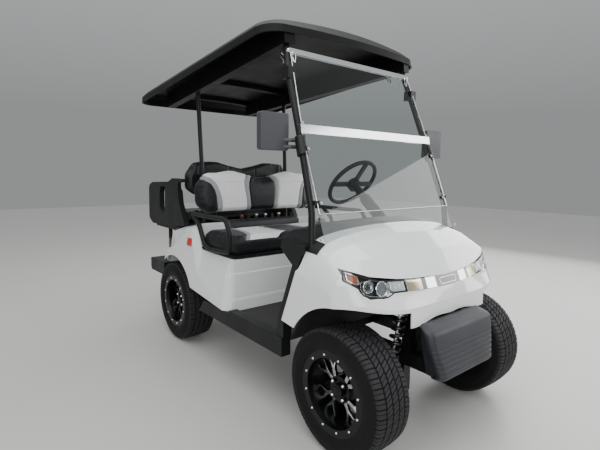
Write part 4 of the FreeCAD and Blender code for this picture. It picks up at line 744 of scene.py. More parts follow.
def tyre_mesh():
    """One tyre about the origin, with its axle along X."""
    radius = HUB_Z
    pitch_length = math.tau * radius / PITCHES
    rows = tread_rows()
    points, paler_tops = [], []
    for across, drop, rib, share in rows:
        for pitch in range(PITCHES):
            for column, place in enumerate(COLUMNS):
                turn, depth = (pitch + place) * pitch_length, 0.0
                if rib is not None:
                    slant, start, slot, sipe = RIBS[rib][2:]
                    turn += slant * across * MM + start * pitch_length
                    depth = SLOT_FLOOR[column] * (slot if column < 4 else sipe) * share * MM
                angle = turn / radius
                reach = radius - drop * MM - depth
                points.append((across * MM, reach * math.cos(angle), reach * math.sin(angle)))
                # Points on the tops of the blocks, outside the slots, get the paler colour
                paler_tops.append(1.0 if share == 1.0 and depth == 0.0 else 0.0)
    return points, ring_faces(len(rows), PITCHES * len(COLUMNS)), paler_tops


TYRES = [(end, side) for end in ("front", "rear") for side in ("left", "right")]
axle_of = {"front": FRONT_AXLE, "rear": REAR_AXLE}
way_of = {"left": 1, "right": -1}
SIDES = ((-1, "right"), (1, "left"))
tyre_points, tyre_faces, tyre_paler_tops = tyre_mesh()
wheel_body = {}
for end, side in TYRES:
    body = f"{end}_wheel_{side}"
    wheel_body[end, side] = body
    hub = Vector((way_of[side] * TRACK_HALF, axle_of[end], HUB_Z))
    tyre = make_piece(f"tread_{end}_{side}", [Vector(point) + hub for point in tyre_points],
                      tyre_faces, materials["tyre_rubber"], body, "tyre_rubber", 32.0)
    tyre.data.attributes.new("paler_tops", "FLOAT", "POINT").data.foreach_set("value", tyre_paler_tops)
    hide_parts(f"{end}_tyre_{side}")
print("tyre faces:", len(tyre_faces), "bodies:", sorted(set(wheel_body.values())))

# %% [markdown]
# The wheels are cast aluminium that is painted black, after which a lathe cuts the fronts of the prongs
# bright. Colouring the CAD model's faces would also brighten their flanks, so the bright fronts are thin
# plates of their own on the painted prongs, with a bevel at each edge. Twelve bolts stand on the ring.

# %% Bright faces and bolts on the wheels
HUB_FACE = TRACK_HALF + 0.040
RING_FACE = TRACK_HALF + 0.098
RING_BOLTS = 12
BOLT_CIRCLE, NUT_CIRCLE = 0.1725, 0.047
CLAWS = 4
# One limb of a fork: angle from the claw's middle (degrees), radius, half width, depth below the hub (m)
LIMB_STOPS = [[(9, 0.056, 0.0100, 0.0014), (15, 0.098, 0.0088, 0.0049), (tip, 0.152, 0.0048, 0.0132)]
              for tip in (8, 29)]
# Across a plate: place as a share of the half width, and height, where 1 is the plate's full rise (m)
PLATE_SECTION = ((-1.0, -0.001), (-0.96, 0.0), (-0.6, 1.0), (0.6, 1.0), (0.96, 0.0), (1.0, -0.001))
PLATE_RISE = 0.0007
PLATE_GAP = 0.0002


def limb_plate(middle, way, stops):
    """A bright plate along one prong: a raised ridge between two bevelled flanks."""
    points, faces = [], []
    for angle, radius, half, sink in stops:
        turn = math.radians(middle + way * angle)
        out = Vector((0, -math.sin(turn), math.cos(turn)))
        across = Vector((0, math.cos(turn), math.sin(turn)))
        for share, rise in PLATE_SECTION:
            lift = rise * PLATE_RISE if rise > 0 else rise
            face = Vector((HUB_FACE - sink + lift + PLATE_GAP, 0, 0))
            points.append(out * radius + across * (half * share) + face)
    wide = len(PLATE_SECTION)
    for row in range(len(stops) - 1):
        for column in range(wide - 1):
            start = row * wide + column
            faces.append((start, start + 1, start + wide + 1, start + wide))
    for end in (0, len(stops) - 1):
        faces.append(tuple(end * wide + column for column in range(wide)))
    return points, faces


def wheel_face():
    """All bright faces of one wheel, for the wheel on the cart's left."""
    parts = []
    for claw in range(CLAWS):
        middle = (claw + 0.5) * 360 / CLAWS
        turn = math.radians(middle)
        for way in (-1, 1):
            for stops in LIMB_STOPS:
                parts.append(limb_plate(middle, way, stops))
        nut = Vector((HUB_FACE + 0.010, -math.sin(turn) * NUT_CIRCLE, math.cos(turn) * NUT_CIRCLE))
        parts.append(lathe([(-0.002, 0.0094), (0.004, 0.0094), (0.006, 0.0078), (0.0095, 0.0060),
                            (0.0110, 0.0030)], nut, (1, 0, 0), 6))
    for bolt in range(RING_BOLTS):
        turn = math.tau * (bolt + 0.5) / RING_BOLTS
        seat = Vector((RING_FACE, BOLT_CIRCLE * math.sin(turn), BOLT_CIRCLE * math.cos(turn)))
        parts.append(lathe([(-0.0005, 0.0058), (0.0012, 0.0058), (0.0022, 0.0046), (0.0040, 0.0042),
                            (0.0048, 0.0026)], seat, (1, 0, 0), 12))
    return joined(*parts)


def wheel_cap():
    """Black domed cap with a stepped edge."""
    return lathe([(0.0155, 0.0318), (0.0185, 0.0318), (0.0200, 0.0300), (0.0200, 0.0255), (0.0188, 0.0245),
                  (0.0188, 0.0230), (0.0215, 0.0200), (0.0230, 0.0120), (0.0233, 0.0030)],
                 (HUB_FACE, 0, 0), (1, 0, 0), 40)


# %% Wheel fronts on all four wheels
face_points, face_faces = wheel_face()
cap_points, cap_faces = wheel_cap()
for end, side in TYRES:
    way = way_of[side]
    shift = Vector((0, axle_of[end], HUB_Z))
    for label, points, faces, finish in (("wheel_faces", face_points, face_faces, machined),
                                         ("wheel_cap", cap_points, cap_faces, materials["wheel_black"])):
        placed = [Vector((way * point.x, point.y, point.z)) + shift for point in points]
        make_piece(f"{label}_{end}_{side}", placed, faces, finish, wheel_body[end, side], "wheel_black")
print("bright faces a wheel:", len(face_faces))

# %% [markdown]
# Each cushion starts as a slightly smaller copy of its CAD solid. It is remeshed to an even skin, blown
# up as cloth with its rim held by the cap on how far a point may go, and smoothed once. The seams come
# after that, as narrow channels where two panels are sewn together, and the colours follow the same
# lines. Distances to the lines are kept as attributes that the vinyl reads.

# %% Padding helpers
VOXEL = 9.0 * MM
PRESSURE = 4.0
CLOTH_FRAMES = 20
SEAM_DEPTH = 5.0 * MM
SEAM_HALF = 6.0 * MM


def world_mesh(node, shrink):
    """A node's mesh in one even skin, drawn in by `shrink` metres on every side."""
    low, high = (Vector(corner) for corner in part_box(node))
    middle = (low + high) / 2
    size = high - low
    scale = [(size[axis] - 2 * shrink) / size[axis] for axis in range(3)]
    source = frame["nodes"][node]
    work = bmesh.new()
    work.from_mesh(source.data)
    work.transform(source.matrix_world)
    bmesh.ops.remove_doubles(work, verts=work.verts, dist=0.05 * MM)
    for vertex in work.verts:
        for axis in range(3):
            vertex.co[axis] = middle[axis] + (vertex.co[axis] - middle[axis]) * scale[axis]
    mesh = bpy.data.meshes.new(node + "_skin")
    work.to_mesh(mesh)
    work.free()
    return mesh


def evaluated(thing):
    """A copy of an object's mesh with its modifiers applied."""
    graph = bpy.context.evaluated_depsgraph_get()
    return bpy.data.meshes.new_from_object(thing.evaluated_get(graph))


def inflated(node, shrink, most):
    """The padded form of a cushion: remeshed, blown up as cloth, capped and kept in its CAD box."""
    thing = bpy.data.objects.new(node + "_pad", world_mesh(node, shrink))
    bpy.context.scene.collection.objects.link(thing)
    remesh = thing.modifiers.new("skin", "REMESH")
    remesh.mode = "VOXEL"
    remesh.voxel_size = VOXEL
    mesh = evaluated(thing)
    thing.modifiers.clear()
    thing.data = mesh
    start = [vertex.co.copy() for vertex in mesh.vertices]
    low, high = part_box(node)
    cloth = thing.modifiers.new("air", "CLOTH")
    cloth.settings.use_pressure = True
    cloth.settings.uniform_pressure_force = PRESSURE
    cloth.settings.effector_weights.gravity = 0.0
    for step in range(1, CLOTH_FRAMES + 1):
        bpy.context.scene.frame_set(step)
    blown = evaluated(thing)
    for vertex, place, moved in zip(mesh.vertices, start, blown.vertices):
        push = moved.co - place
        if push.length > most:
            push *= most / push.length
        spot = place + push
        vertex.co = [min(max(spot[axis], low[axis]), high[axis]) for axis in range(3)]
    thing.modifiers.clear()
    bpy.context.scene.frame_set(1)
    smooth = thing.modifiers.new("round", "SMOOTH")
    smooth.iterations = 6
    finer = thing.modifiers.new("finer", "SUBSURF")
    finer.levels = 1
    thing.data = evaluated(thing)
    thing.modifiers.clear()
    return thing


def line_gap(point, line):
    """Distance from a 2-D point to a chain of 2-D points."""
    best = 9.0
    for start, end in zip(line, line[1:]):
        run = end - start
        share = min(max((point - start).dot(run) / run.length_squared, 0.0), 1.0)
        best = min(best, (point - start - run * share).length)
    return best


def limit_at(line, height):
    """Where a line that rises steadily is at a height, held at its ends."""
    if height <= line[0].y:
        return line[0].x
    for start, end in zip(line, line[1:]):
        if height <= end.y:
            return start.x + (end.x - start.x) * (height - start.y) / (end.y - start.y)
    return line[-1].x


def keep(mesh, name, values):
    """Store one number per point as an attribute that a shader can read."""
    mesh.attributes.new(name, "FLOAT", "POINT").data.foreach_set("value", values)


def sew(mesh, gaps):
    """Press channels into the skin where the distance to a seam is small."""
    normals = [vertex.normal.copy() for vertex in mesh.vertices]
    for vertex, normal, gap in zip(mesh.vertices, normals, gaps):
        if gap < 3 * SEAM_HALF:
            vertex.co -= normal * (SEAM_DEPTH * math.exp(-(gap / SEAM_HALF) ** 2))


def finish_pad(pad, name, material, node, body):
    """Name and finish a cushion, hang it on its body and hide its CAD solid."""
    pad.name = name
    pad.data.materials.clear()
    pad.data.materials.append(material)
    pad.data.shade_smooth()
    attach(pad, body)
    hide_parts(node)
    print(name, "points:", len(pad.data.vertices))


# %% [markdown]
# The front backrest has a black middle that ends in a pointed arch, grey bands beside it, white panels
# that run over the top, and grey and black at the outer ends. The panels could be modelled one by one,
# but then they would part at the seams when the air goes in. Here the whole cushion is blown up once, and
# the seams, given as lines in one half of the front view, are pressed in and coloured afterwards.

# %% Front backrest


def chain(points):
    """Millimetre pairs as vectors in metres."""
    return [Vector((x * MM, z * MM)) for x, z in points]


# From the bottom up: distance from the middle and height, in mm
BACK_GREY_IN = chain([(100, 940), (104, 1000), (112, 1073), (120, 1150), (116, 1195), (92, 1232),
                      (40, 1262), (0, 1276)])
BACK_WHITE_IN = chain([(139, 940), (141, 1000), (145, 1074), (158, 1150), (160, 1200), (138, 1240),
                       (80, 1272), (20, 1296), (0, 1302)])
BACK_WHITE_OUT = chain([(341, 940), (343, 1000), (347, 1062), (360, 1125), (380, 1175), (425, 1226),
                        (470, 1246), (516, 1259), (600, 1275)])
BACK_GREY_OUT = chain([(380, 940), (384, 1020), (391, 1098), (404, 1145), (427, 1184), (489, 1222),
                       (534, 1234), (600, 1246)])
BACK_CROSS_SEAM = 1190 * MM
BACK_DEPTH = 92 * MM
# Lean of the backrest in degrees
BACK_LEAN = 6.9


def front_backrest():
    """Front backrest with its sewn panels."""
    pad = inflated("front_backrest", 10 * MM, 24 * MM)
    mesh = pad.data
    mesh.update()
    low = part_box("front_backrest")[0]
    lean = math.tan(math.radians(BACK_LEAN))
    white, grey, gaps = [], [], []
    for vertex in mesh.vertices:
        across, depth, height = abs(vertex.co.x), vertex.co.y, vertex.co.z
        spot = Vector((across, height))
        behind = depth - (low[1] + (height - low[2]) * lean)
        onward = BACK_DEPTH - behind
        inside_white = min(across - limit_at(BACK_WHITE_IN, height),
                           limit_at(BACK_WHITE_OUT, height) - across)
        inside_grey = min(across - limit_at(BACK_GREY_IN, height),
                          limit_at(BACK_GREY_OUT, height) - across)
        white.append(min(inside_white, onward))
        grey.append(min(inside_grey, onward))
        gap = min(line_gap(spot, line) for line in (BACK_GREY_IN, BACK_WHITE_IN, BACK_WHITE_OUT,
                                                    BACK_GREY_OUT))
        if inside_white > 0:
            gap = min(gap, abs(height - BACK_CROSS_SEAM) * 1.6)
        gaps.append(gap if onward > 0 else 1.0)
    keep(mesh, "white_panel", white)
    keep(mesh, "grey_band", grey)
    sew(mesh, gaps)
    finish_pad(pad, "front_backrest_pad", materials["seat_vinyl"], "front_backrest", "chassis")


front_backrest()

# %% [markdown]
# The front cushion's white panels spread towards the knees and stop before the black front roll. It is
# made as the backrest is, but its lines are drawn in plan, and only the faces near its top take part.

# %% Front cushion
# In plan: distance from the middle, and distance behind the front edge counted forwards, in mm
CUSHION_WHITE_IN = chain([(139, -450), (139, -120), (120, -60)])
CUSHION_WHITE_OUT = chain([(328, -450), (328, -240), (340, -160), (384, -60), (430, 8)])
CUSHION_GREY_IN = chain([(100, -450), (100, -120), (84, -60)])
CUSHION_GREY_OUT = chain([(364, -450), (364, -240), (378, -160), (408, -66), (456, 8)])
CUSHION_FRONT = [Vector((0.0, -0.115)), Vector((0.093, -0.075)), Vector((0.199, -0.012)),
                 Vector((0.300, 0.012)), Vector((0.395, 0.018)), Vector((0.600, 0.018))]
CUSHION_ROLL = 30 * MM


def front_cushion():
    """Front cushion with its sewn panels."""
    pad = inflated("front_cushion", 9 * MM, 22 * MM)
    mesh = pad.data
    mesh.update()
    low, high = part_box("front_cushion")
    white, grey, gaps = [], [], []
    for vertex in mesh.vertices:
        across = abs(vertex.co.x)
        forward = low[1] + 0.030 - vertex.co.y
        spot = Vector((across, forward))
        index = next((i for i in range(1, len(CUSHION_FRONT)) if across <= CUSHION_FRONT[i].x), -1)
        start, end = CUSHION_FRONT[index - 1], CUSHION_FRONT[index]
        edge = start.y + (end.y - start.y) * (across - start.x) / (end.x - start.x)
        top = vertex.co.z - (high[2] - CUSHION_ROLL)
        inside_white = min(across - limit_at(CUSHION_WHITE_IN, forward),
                           limit_at(CUSHION_WHITE_OUT, forward) - across, edge - forward, top)
        inside_grey = min(across - limit_at(CUSHION_GREY_IN, forward),
                          limit_at(CUSHION_GREY_OUT, forward) - across, edge - forward, top)
        white.append(inside_white)
        grey.append(inside_grey)
        gap = min(line_gap(spot, line) for line in (CUSHION_WHITE_IN, CUSHION_WHITE_OUT, CUSHION_GREY_IN,
                                                    CUSHION_GREY_OUT))
        if forward > edge:
            gap = 1.0
        gaps.append(min(gap, line_gap(spot, CUSHION_FRONT)) if top > 0 else 1.0)
    keep(mesh, "white_panel", white)
    keep(mesh, "grey_band", grey)
    sew(mesh, gaps)
    finish_pad(pad, "front_cushion_pad", materials["seat_vinyl"], "front_cushion", "seat_lid")


front_cushion()

# %% [markdown]
# The rear seat is black, with a seam near each end and two seams that split it into three panels. With no
# colours to cut, each point only needs its distance from the nearest seam, which runs straight.

# %% Rear seat


def plain_pad(node, body, shrink, most, splits, rim):
    """A one-colour cushion with straight seams at some distances from the middle and one near its rim."""
    pad = inflated(node, shrink, most)
    mesh = pad.data
    mesh.update()
    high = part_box(node)[1]
    gaps = []
    for vertex in mesh.vertices:
        across = abs(vertex.co.x)
        gap = min(abs(across - split) for split in splits)
        gaps.append(min(gap, abs(high[0] - rim - across)))
    sew(mesh, gaps)
    finish_pad(pad, node + "_pad", materials["seat_vinyl_black"], node, body)


plain_pad("rear_backrest", "chassis", 10 * MM, 24 * MM, (0.120,), 0.130)
plain_pad("rear_cushion", "rear_bed", 9 * MM, 20 * MM, (0.120,), 0.110)

# %% [markdown]
# Lamps and trim follow the curve of the body. A shrinkwrap modifier could lay them on it, but would pull
# their edges along with the nearest face. Here each is cut as a flat outline, divided into small faces,
# and dropped onto the body along one axis, so that its outline stays as drawn in that view. Given a
# thickness, it becomes a closed sheet.

# %% Draping helpers
NOSE_NODES = ("front_cowl", "headlamps", "nose_band")


def surface_tree(nodes):
    """One search tree over the surfaces of several nodes."""
    work = bmesh.new()
    for node in nodes:
        source = frame["nodes"][node]
        copy = source.data.copy()
        copy.transform(source.matrix_world)
        work.from_mesh(copy)
        bpy.data.meshes.remove(copy)
    tree = BVHTree.FromBMesh(work)
    work.free()
    return tree


nose_tree = surface_tree(NOSE_NODES)
body_tree = surface_tree(("rear_body",))
FORWARD = Vector((0, -1, 0))
FRONT_VIEW = (nose_tree, FORWARD, (0, 2))
SIDE_VIEWS = {side: (body_tree, Vector((side, 0, 0)), (1, 2)) for side in (-1, 1)}


def skin_point(view, first, second):
    """Where the skin is at a place in a view, and its direction there."""
    tree, outward, axes = view
    start = outward * 3.0
    start[axes[0]], start[axes[1]] = first, second
    hit = tree.ray_cast(start, -outward)
    return hit[0], hit[1]


def draped(outline, cell, sink, thick, view=FRONT_VIEW):
    """A sheet over the skin: outline in the view (m), cell size, depth below the skin and thickness."""
    outward, axes = view[1:]
    work = bmesh.new()
    corners = []
    for pair in outline:
        corner = Vector((0, 0, 0))
        corner[axes[0]], corner[axes[1]] = pair
        corners.append(work.verts.new(corner))
    work.faces.new(corners)
    bmesh.ops.triangulate(work, faces=work.faces)
    for axis in axes:
        places = [vertex.co[axis] for vertex in work.verts]
        cut = math.ceil(min(places) / cell) * cell
        while cut < max(places):
            centre, normal = Vector((0, 0, 0)), Vector((0, 0, 0))
            centre[axis], normal[axis] = cut, 1.0
            bmesh.ops.bisect_plane(work, geom=list(work.verts) + list(work.edges) + list(work.faces),
                                   dist=1e-6, plane_co=centre, plane_no=normal)
            cut += cell
    bmesh.ops.remove_doubles(work, verts=work.verts, dist=1e-5)
    for vertex in work.verts:
        vertex.co = skin_point(view, vertex.co[axes[0]], vertex.co[axes[1]])[0] - outward * sink
    grown = bmesh.ops.extrude_face_region(work, geom=list(work.faces))
    moved = [item for item in grown["geom"] if isinstance(item, bmesh.types.BMVert)]
    bmesh.ops.translate(work, verts=moved, vec=-outward * thick)
    work.verts.index_update()
    points = [vertex.co.copy() for vertex in work.verts]
    faces = [tuple(vertex.index for vertex in face.verts) for face in work.faces]
    work.free()
    return points, faces


# A sharp corner is moved in no further than a corner of this share would be
SHARPEST_SHARE = 0.35


def inset(outline, distance):
    """An outline moved inwards by a distance; it runs anticlockwise."""
    moved = []
    for index, point in enumerate(outline):
        before, after = Vector(outline[index - 1]), Vector(outline[(index + 1) % len(outline)])
        here = Vector(point)
        first, second = (here - before).normalized(), (after - here).normalized()
        bisector = Vector((-first.y, first.x)) + Vector((-second.y, second.x))
        share = bisector.length_squared / 2
        moved.append(tuple(here + bisector * (distance / max(share, SHARPEST_SHARE))))
    return moved


def anticlockwise(outline):
    """An outline turned to run anticlockwise."""
    area = sum(a[0] * b[1] - b[0] * a[1] for a, b in zip(outline, outline[1:] + outline[:1]))
    return outline if area > 0 else outline[::-1]


def in_metres(outline, side):
    """A half outline in mm, put on one side of the cart."""
    return anticlockwise([(side * x * MM, z * MM) for x, z in outline])


def rim_round(outline, width, cell, sink, thick, view=FRONT_VIEW):
    """A narrow rim just inside an outline, as one small sheet for each of its sides."""
    inner = inset(outline, width)
    count = len(outline)
    quads = [[outline[i], outline[(i + 1) % count], inner[(i + 1) % count], inner[i]] for i in range(count)]
    return [draped(quad, cell, sink, thick, view) for quad in quads]


print("surfaces to drape on:", ", ".join(NOSE_NODES), "and rear_body")

# %% [markdown]
# The lamp is a black housing let into the nose, with a bright bowl round a dark projector lens, a second
# bowl, a pale box towards the middle and an amber signal at the corner, all behind one clear lens. The
# CAD model has one solid lamp, and a picture on it would show no depth, so the lamp is built in layers:
# a sunken tray with walls, then bowls, rims and panes in it, then the cover over them.

# %% Headlamp outlines and sizes
# Front view in mm from the middle, for one side
LAMP_RIM = [(292, 800), (291, 748), (366, 750), (384, 742), (402, 736), (430, 734), (494, 742), (512, 750),
            (522, 765), (528, 786), (560, 806), (570, 814), (566, 860), (540, 848), (510, 834), (469, 820),
            (420, 808), (360, 804)]
LAMP_POCKET = [(384, 801), (384, 751), (402, 742), (430, 740), (486, 747), (506, 757), (514, 776), (510, 804),
               (470, 812), (420, 804)]
SIGNAL = [(515, 797), (530, 795), (558, 815), (558, 848), (536, 840), (516, 828)]
PALE_BOX = [(298, 796), (298, 753), (364, 755), (380, 759), (380, 800), (350, 798)]
# Panes in the pale box: inner and outer distance from the middle, in mm
PALE_PANES = ((304, 322), (329, 347), (354, 372))
# Bowls: distance from the middle and height in mm, and radius in m
BOWLS = ((480, 784, 0.0265), (418, 772, 0.033))
# Projector: along its aim and radius, in m
PROJECTOR = [(-0.010, 0.018), (-0.004, 0.0178), (0.001, 0.0150), (0.0045, 0.0095), (0.0058, 0.0020)]
TRAY_DEPTH = 0.026
BORDER = 0.0055
# Sizes of the draped faces, in m
LAMP_CELL, SMALL_CELL, SIGNAL_CELL = 0.012, 0.010, 0.008
# How strongly a bowl's aim is turned from the skin's own direction to straight ahead
AIM_AHEAD = 1.2
print("corners of the lamp's rim:", len(LAMP_RIM))

# %% Headlamps


def bowl(place, aim, radius):
    """A faceted reflector bowl, open towards its aim."""
    outline = [(-0.020, 0.10), (-0.0195, 0.30), (-0.015, 0.55), (-0.008, 0.80), (0.0, 0.96), (0.002, 1.0),
               (0.0005, 1.06), (-0.004, 1.05)]
    return lathe([(along, share * radius) for along, share in outline], place, aim, 28)


for side, label in SIDES:
    rim = in_metres(LAMP_RIM, side)
    tray = draped(rim, LAMP_CELL, TRAY_DEPTH, 0.003)
    walls = rim_round(rim, 0.002, LAMP_CELL, -0.0008, TRAY_DEPTH)
    border = rim_round(rim, BORDER, LAMP_CELL, -0.0010, 0.004)
    housing = make_piece(f"lamp_housing_{label}", *joined(tray, *walls, *border), materials["chrome_band"],
                         "chassis", "lamp_lens", 30.0)
    cover = draped(inset(rim, BORDER), LAMP_CELL, 0.0, 0.0025)
    make_piece(f"lamp_cover_{label}", *cover, materials["lamp_lens"], "chassis", "lamp_lens", 60.0)
    bright = []
    for x, z, radius in BOWLS:
        skin, normal = skin_point(FRONT_VIEW, side * x * MM, z * MM)
        aim = (normal + FORWARD * AIM_AHEAD).normalized()
        bright.append(bowl(skin - aim * 0.006, aim, radius))
    pocket = in_metres(LAMP_POCKET, side)
    bright += rim_round(pocket, 0.0022, SMALL_CELL, 0.003, 0.010)
    box = in_metres(PALE_BOX, side)
    bright += rim_round(box, 0.0025, SMALL_CELL, 0.0025, 0.010)
    signal = in_metres(SIGNAL, side)
    bright += rim_round(signal, 0.0030, SMALL_CELL, 0.0025, 0.008)
    make_piece(f"lamp_bowls_{label}", *joined(*bright), chrome, "chassis", "lamp_lens", 12.0)
    pale = [draped(inset(box, 0.0020), SMALL_CELL, 0.007, 0.003)]
    for low, high in PALE_PANES:
        pane = in_metres([(low, 788), (low, 763), (high, 764), (high, 789)], side)
        pale.append(draped(pane, SMALL_CELL, 0.0045, 0.004))
    make_piece(f"lamp_pale_box_{label}", *joined(*pale), lamp_white, "chassis", "lamp_lens", 30.0)
    pane = draped(inset(signal, 0.0028), SIGNAL_CELL, 0.004, 0.006)
    make_piece(f"lamp_signal_{label}", *pane, amber, "chassis", "lamp_lens", 30.0)
    # The projector stands in the outer bowl
    skin, normal = skin_point(FRONT_VIEW, side * 0.480, 0.784)
    aim = (normal + FORWARD * AIM_AHEAD).normalized()
    eye = lathe(PROJECTOR, skin - aim * 0.010, aim, 32)
    make_piece(f"lamp_projector_{label}", *eye, materials["chrome_band"], "chassis", "lamp_lens", 50.0)
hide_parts("headlamps")
print("lamp pieces: 6 a side")

# %% [markdown]
# A band of plated sections runs across the nose: cream-toned beside each lamp, chrome further in, black
# dividers between them, and a plain dark plate in the middle. One band with a coloured pattern would have
# no edges to catch the light, so each section is a sheet of its own that stands a little over the skin.

# %% Nose strip
# Heights of the strip's lower and upper edge: distance from the middle and z, in mm
STRIP_LOW = chain([(0, 742), (250, 748), (300, 749)])
STRIP_HIGH = chain([(0, 790), (250, 798), (300, 801)])


def strip_edge(line, x):
    """Height of one edge of the strip at a distance from the middle."""
    for start, end in zip(line, line[1:]):
        if x <= end.x:
            return start.y + (end.y - start.y) * (x - start.x) / (end.x - start.x)
    return line[-1].y


def strip_section(start, end, margin):
    """Outline of a section of the strip between two distances from the middle (m)."""
    steps = [start + (end - start) * share / 6 for share in range(7)]
    low = [(x, strip_edge(STRIP_LOW, abs(x)) + margin) for x in steps]
    high = [(x, strip_edge(STRIP_HIGH, abs(x)) - margin) for x in reversed(steps)]
    return low + high


# Sections of one side: name, from and to (m from the middle), margin at its edges, rise and finish
STRIP_PARTS = (("nose_cream", 0.194, 0.2895, 0.0010, 0.0012, cream_chrome),
               ("nose_chrome", 0.098, 0.166, 0.0010, 0.0012, chrome),
               ("nose_divider", 0.1665, 0.1935, 0.0005, 0.0020, materials["chrome_band"]))
STRIP_CELL, STRIP_THICKNESS = 0.012, 0.004

for side, label in SIDES:
    for name, start, end, margin, rise, finish in STRIP_PARTS:
        outline = strip_section(*sorted((side * start, side * end)), margin)
        section = draped(outline, STRIP_CELL, -rise, STRIP_THICKNESS)
        make_piece(f"{name}_{label}", *section, finish, "chassis", "chrome_band", 40.0)
# The plate's outline in mm, from the front
PLATE = [(-66, 758), (-60, 752), (60, 752), (66, 758), (66, 776), (60, 782), (-60, 782), (-66, 776)]
plate = [(x * MM, z * MM) for x, z in PLATE]
plate_rim = rim_round(plate, 0.0022, STRIP_CELL, -0.0015, STRIP_THICKNESS)
make_piece("nose_plate_rim", *joined(*plate_rim), machined, "chassis", "chrome_band", 30.0)
print("nose strip sections: 6, and the rim of the plain plate")

# %% [markdown]
# Each front spring is a steel wire wound round a bright damper, with an upper seat, a lower collar and an
# eye at each end. Stacked rings would look the same from afar, but the gaps between real turns slope, and
# that shows beside the tyre, so the wire is swept along a helix from the lower arm to the tower.

# %% Coil springs
COIL_FOOT = Vector((0.335, FRONT_AXLE - 0.095, 0.232))
COIL_HEAD = Vector((0.225, FRONT_AXLE - 0.095, 0.655))
COIL_TURNS = 8
COIL_SPAN = (0.095, 0.385)
WIRE = 0.0088
COIL_RADIUS = 0.034
STEPS_A_TURN = 20


def damper(foot, head):
    """Points and faces of the damper tube, its rod and both spring seats."""
    axis = head - foot
    length = axis.length
    tube = lathe([(0.030, 0.010), (0.034, 0.0165), (0.075, 0.0165), (0.080, 0.030), (0.086, 0.033),
                  (0.092, 0.033), (0.094, 0.0175), (0.100, 0.0165), (0.200, 0.0165), (0.204, 0.0085),
                  (COIL_SPAN[1] + 0.004, 0.0085), (COIL_SPAN[1] + 0.004, 0.033),
                  (COIL_SPAN[1] + 0.012, 0.033), (COIL_SPAN[1] + 0.016, 0.020),
                  (length - 0.020, 0.012)], foot, axis, 28)
    eye = [(-0.012, 0.0135), (-0.011, 0.0150), (0.011, 0.0150), (0.012, 0.0135)]
    eyes = [lathe(eye, place, (0, 1, 0), 24) for place in (foot + axis * 0.035, head - axis * 0.035)]
    return joined(tube, *eyes)


def helix(foot, head):
    """Points and faces of the spring's wire."""
    axis = (head - foot).normalized()
    side, other = frame_along(axis)
    low, high = COIL_SPAN
    line = []
    steps = COIL_TURNS * STEPS_A_TURN
    reach = COIL_RADIUS - WIRE
    for step in range(steps + 1):
        turn = math.tau * step / STEPS_A_TURN
        rise = low + (high - low) * step / steps
        line.append(foot + axis * rise + (side * math.cos(turn) + other * math.sin(turn)) * reach)
    return sweep(line, WIRE, 10)


for side, label in SIDES:
    foot, head = (Vector((side * end.x, end.y, end.z)) for end in (COIL_FOOT, COIL_HEAD))
    make_piece(f"damper_{label}", *damper(foot, head), zinc, "chassis", "coil_steel", 35.0)
    coil = make_piece(f"spring_{label}", *helix(foot, head), materials["coil_steel"], "chassis",
                      "coil_steel", 50.0)
    if side < 0:
        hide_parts("coilovers")
print("springs:", COIL_TURNS, "turns each")

# %% [markdown]
# The bumper is one moulding: rounded upright corners, a smooth upper half, fine ribs across the lower half
# and sides that step in behind the front face. A box with bevels could be cut for every rib, but each cut
# would leave odd faces at the corners. Seen in plan, every height has the same kind of ring, so the form
# is a stack of such rings that a table of heights makes wider, narrower or deeper.

# %% Front bumper
BUMPER_BACK = FRONT_AXLE - 0.222
RIB_TOP, RIB_END, RIB_PITCH = 0.505, 0.372, 0.0222
CORNER = 0.030
# The front face leans back by this much (mm) over this height
LEAN_BACK, LEAN_UP = 42, 185
# One rib: rise over its foot and depth of the dent there (m)
RIB_SHAPE = ((0.0, 0.0), (0.010, 0.0), (0.012, 0.0035), (0.0185, 0.0035), (0.0205, 0.0))
CORNER_STEPS = 6


def bumper_rows():
    """For each ring its height, the front face's place, how far it is tucked in, and its half width."""
    rows = [(0.345, 0.298, 0.030, 0.200), (0.347, 0.309, 0.016, 0.204), (0.352, 0.318, 0.006, 0.210),
            (0.362, 0.324, 0.0, 0.219)]
    height = RIB_END
    while height < RIB_TOP:
        face = 0.285 + (0.570 - height) * LEAN_BACK / LEAN_UP
        half = min(0.212 + (height - 0.356) * 0.050 / 0.164, 0.262)
        for rise, dent in RIB_SHAPE:
            rows.append((height + rise, face - rise * LEAN_BACK / LEAN_UP - dent, 0.0, half + rise * 0.3))
        height += RIB_PITCH
    rows += [(0.530, 0.2945, 0.0, 0.262), (0.556, 0.2885, 0.0, 0.262), (0.566, 0.2855, 0.002, 0.261),
             (0.573, 0.280, 0.006, 0.258), (0.580, 0.268, 0.012, 0.252), (0.590, 0.246, 0.022, 0.246),
             (0.598, 0.226, 0.030, 0.240)]
    return rows


def bumper_form():
    """The bumper as rings stacked from the bottom to the top."""
    points = []
    rows = bumper_rows()
    for z, face, tuck, half in rows:
        front = FRONT_AXLE - face + tuck * 0.2
        back = BUMPER_BACK + max(z - 0.560, 0.0) * 0.45
        ring = [(-half + 0.016, max(back, front + 0.004)), (-half + 0.014, front + 0.050),
                (-half + 0.001, front + 0.040)]
        for step in range(CORNER_STEPS + 1):
            turn = math.pi / 2 * step / CORNER_STEPS
            ring.append((-half + CORNER - CORNER * math.cos(turn), front + CORNER - CORNER * math.sin(turn)))
        for share in (0.35, 0.5, 0.65):
            ring.append((-half + CORNER + (2 * half - 2 * CORNER) * share, front))
        ring += [(-x, y) for x, y in reversed(ring[:10])]
        points += [(x, y, z) for x, y in ring]
    return points, closed_rings(len(rows), len(points) // len(rows))


bumper = make_piece("bumper_moulding", *bumper_form(), materials["bumper_grey"], "chassis", "black_trim",
                    38.0)
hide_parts("front_bumper")
print("bumper faces:", len(bumper.data.polygons))
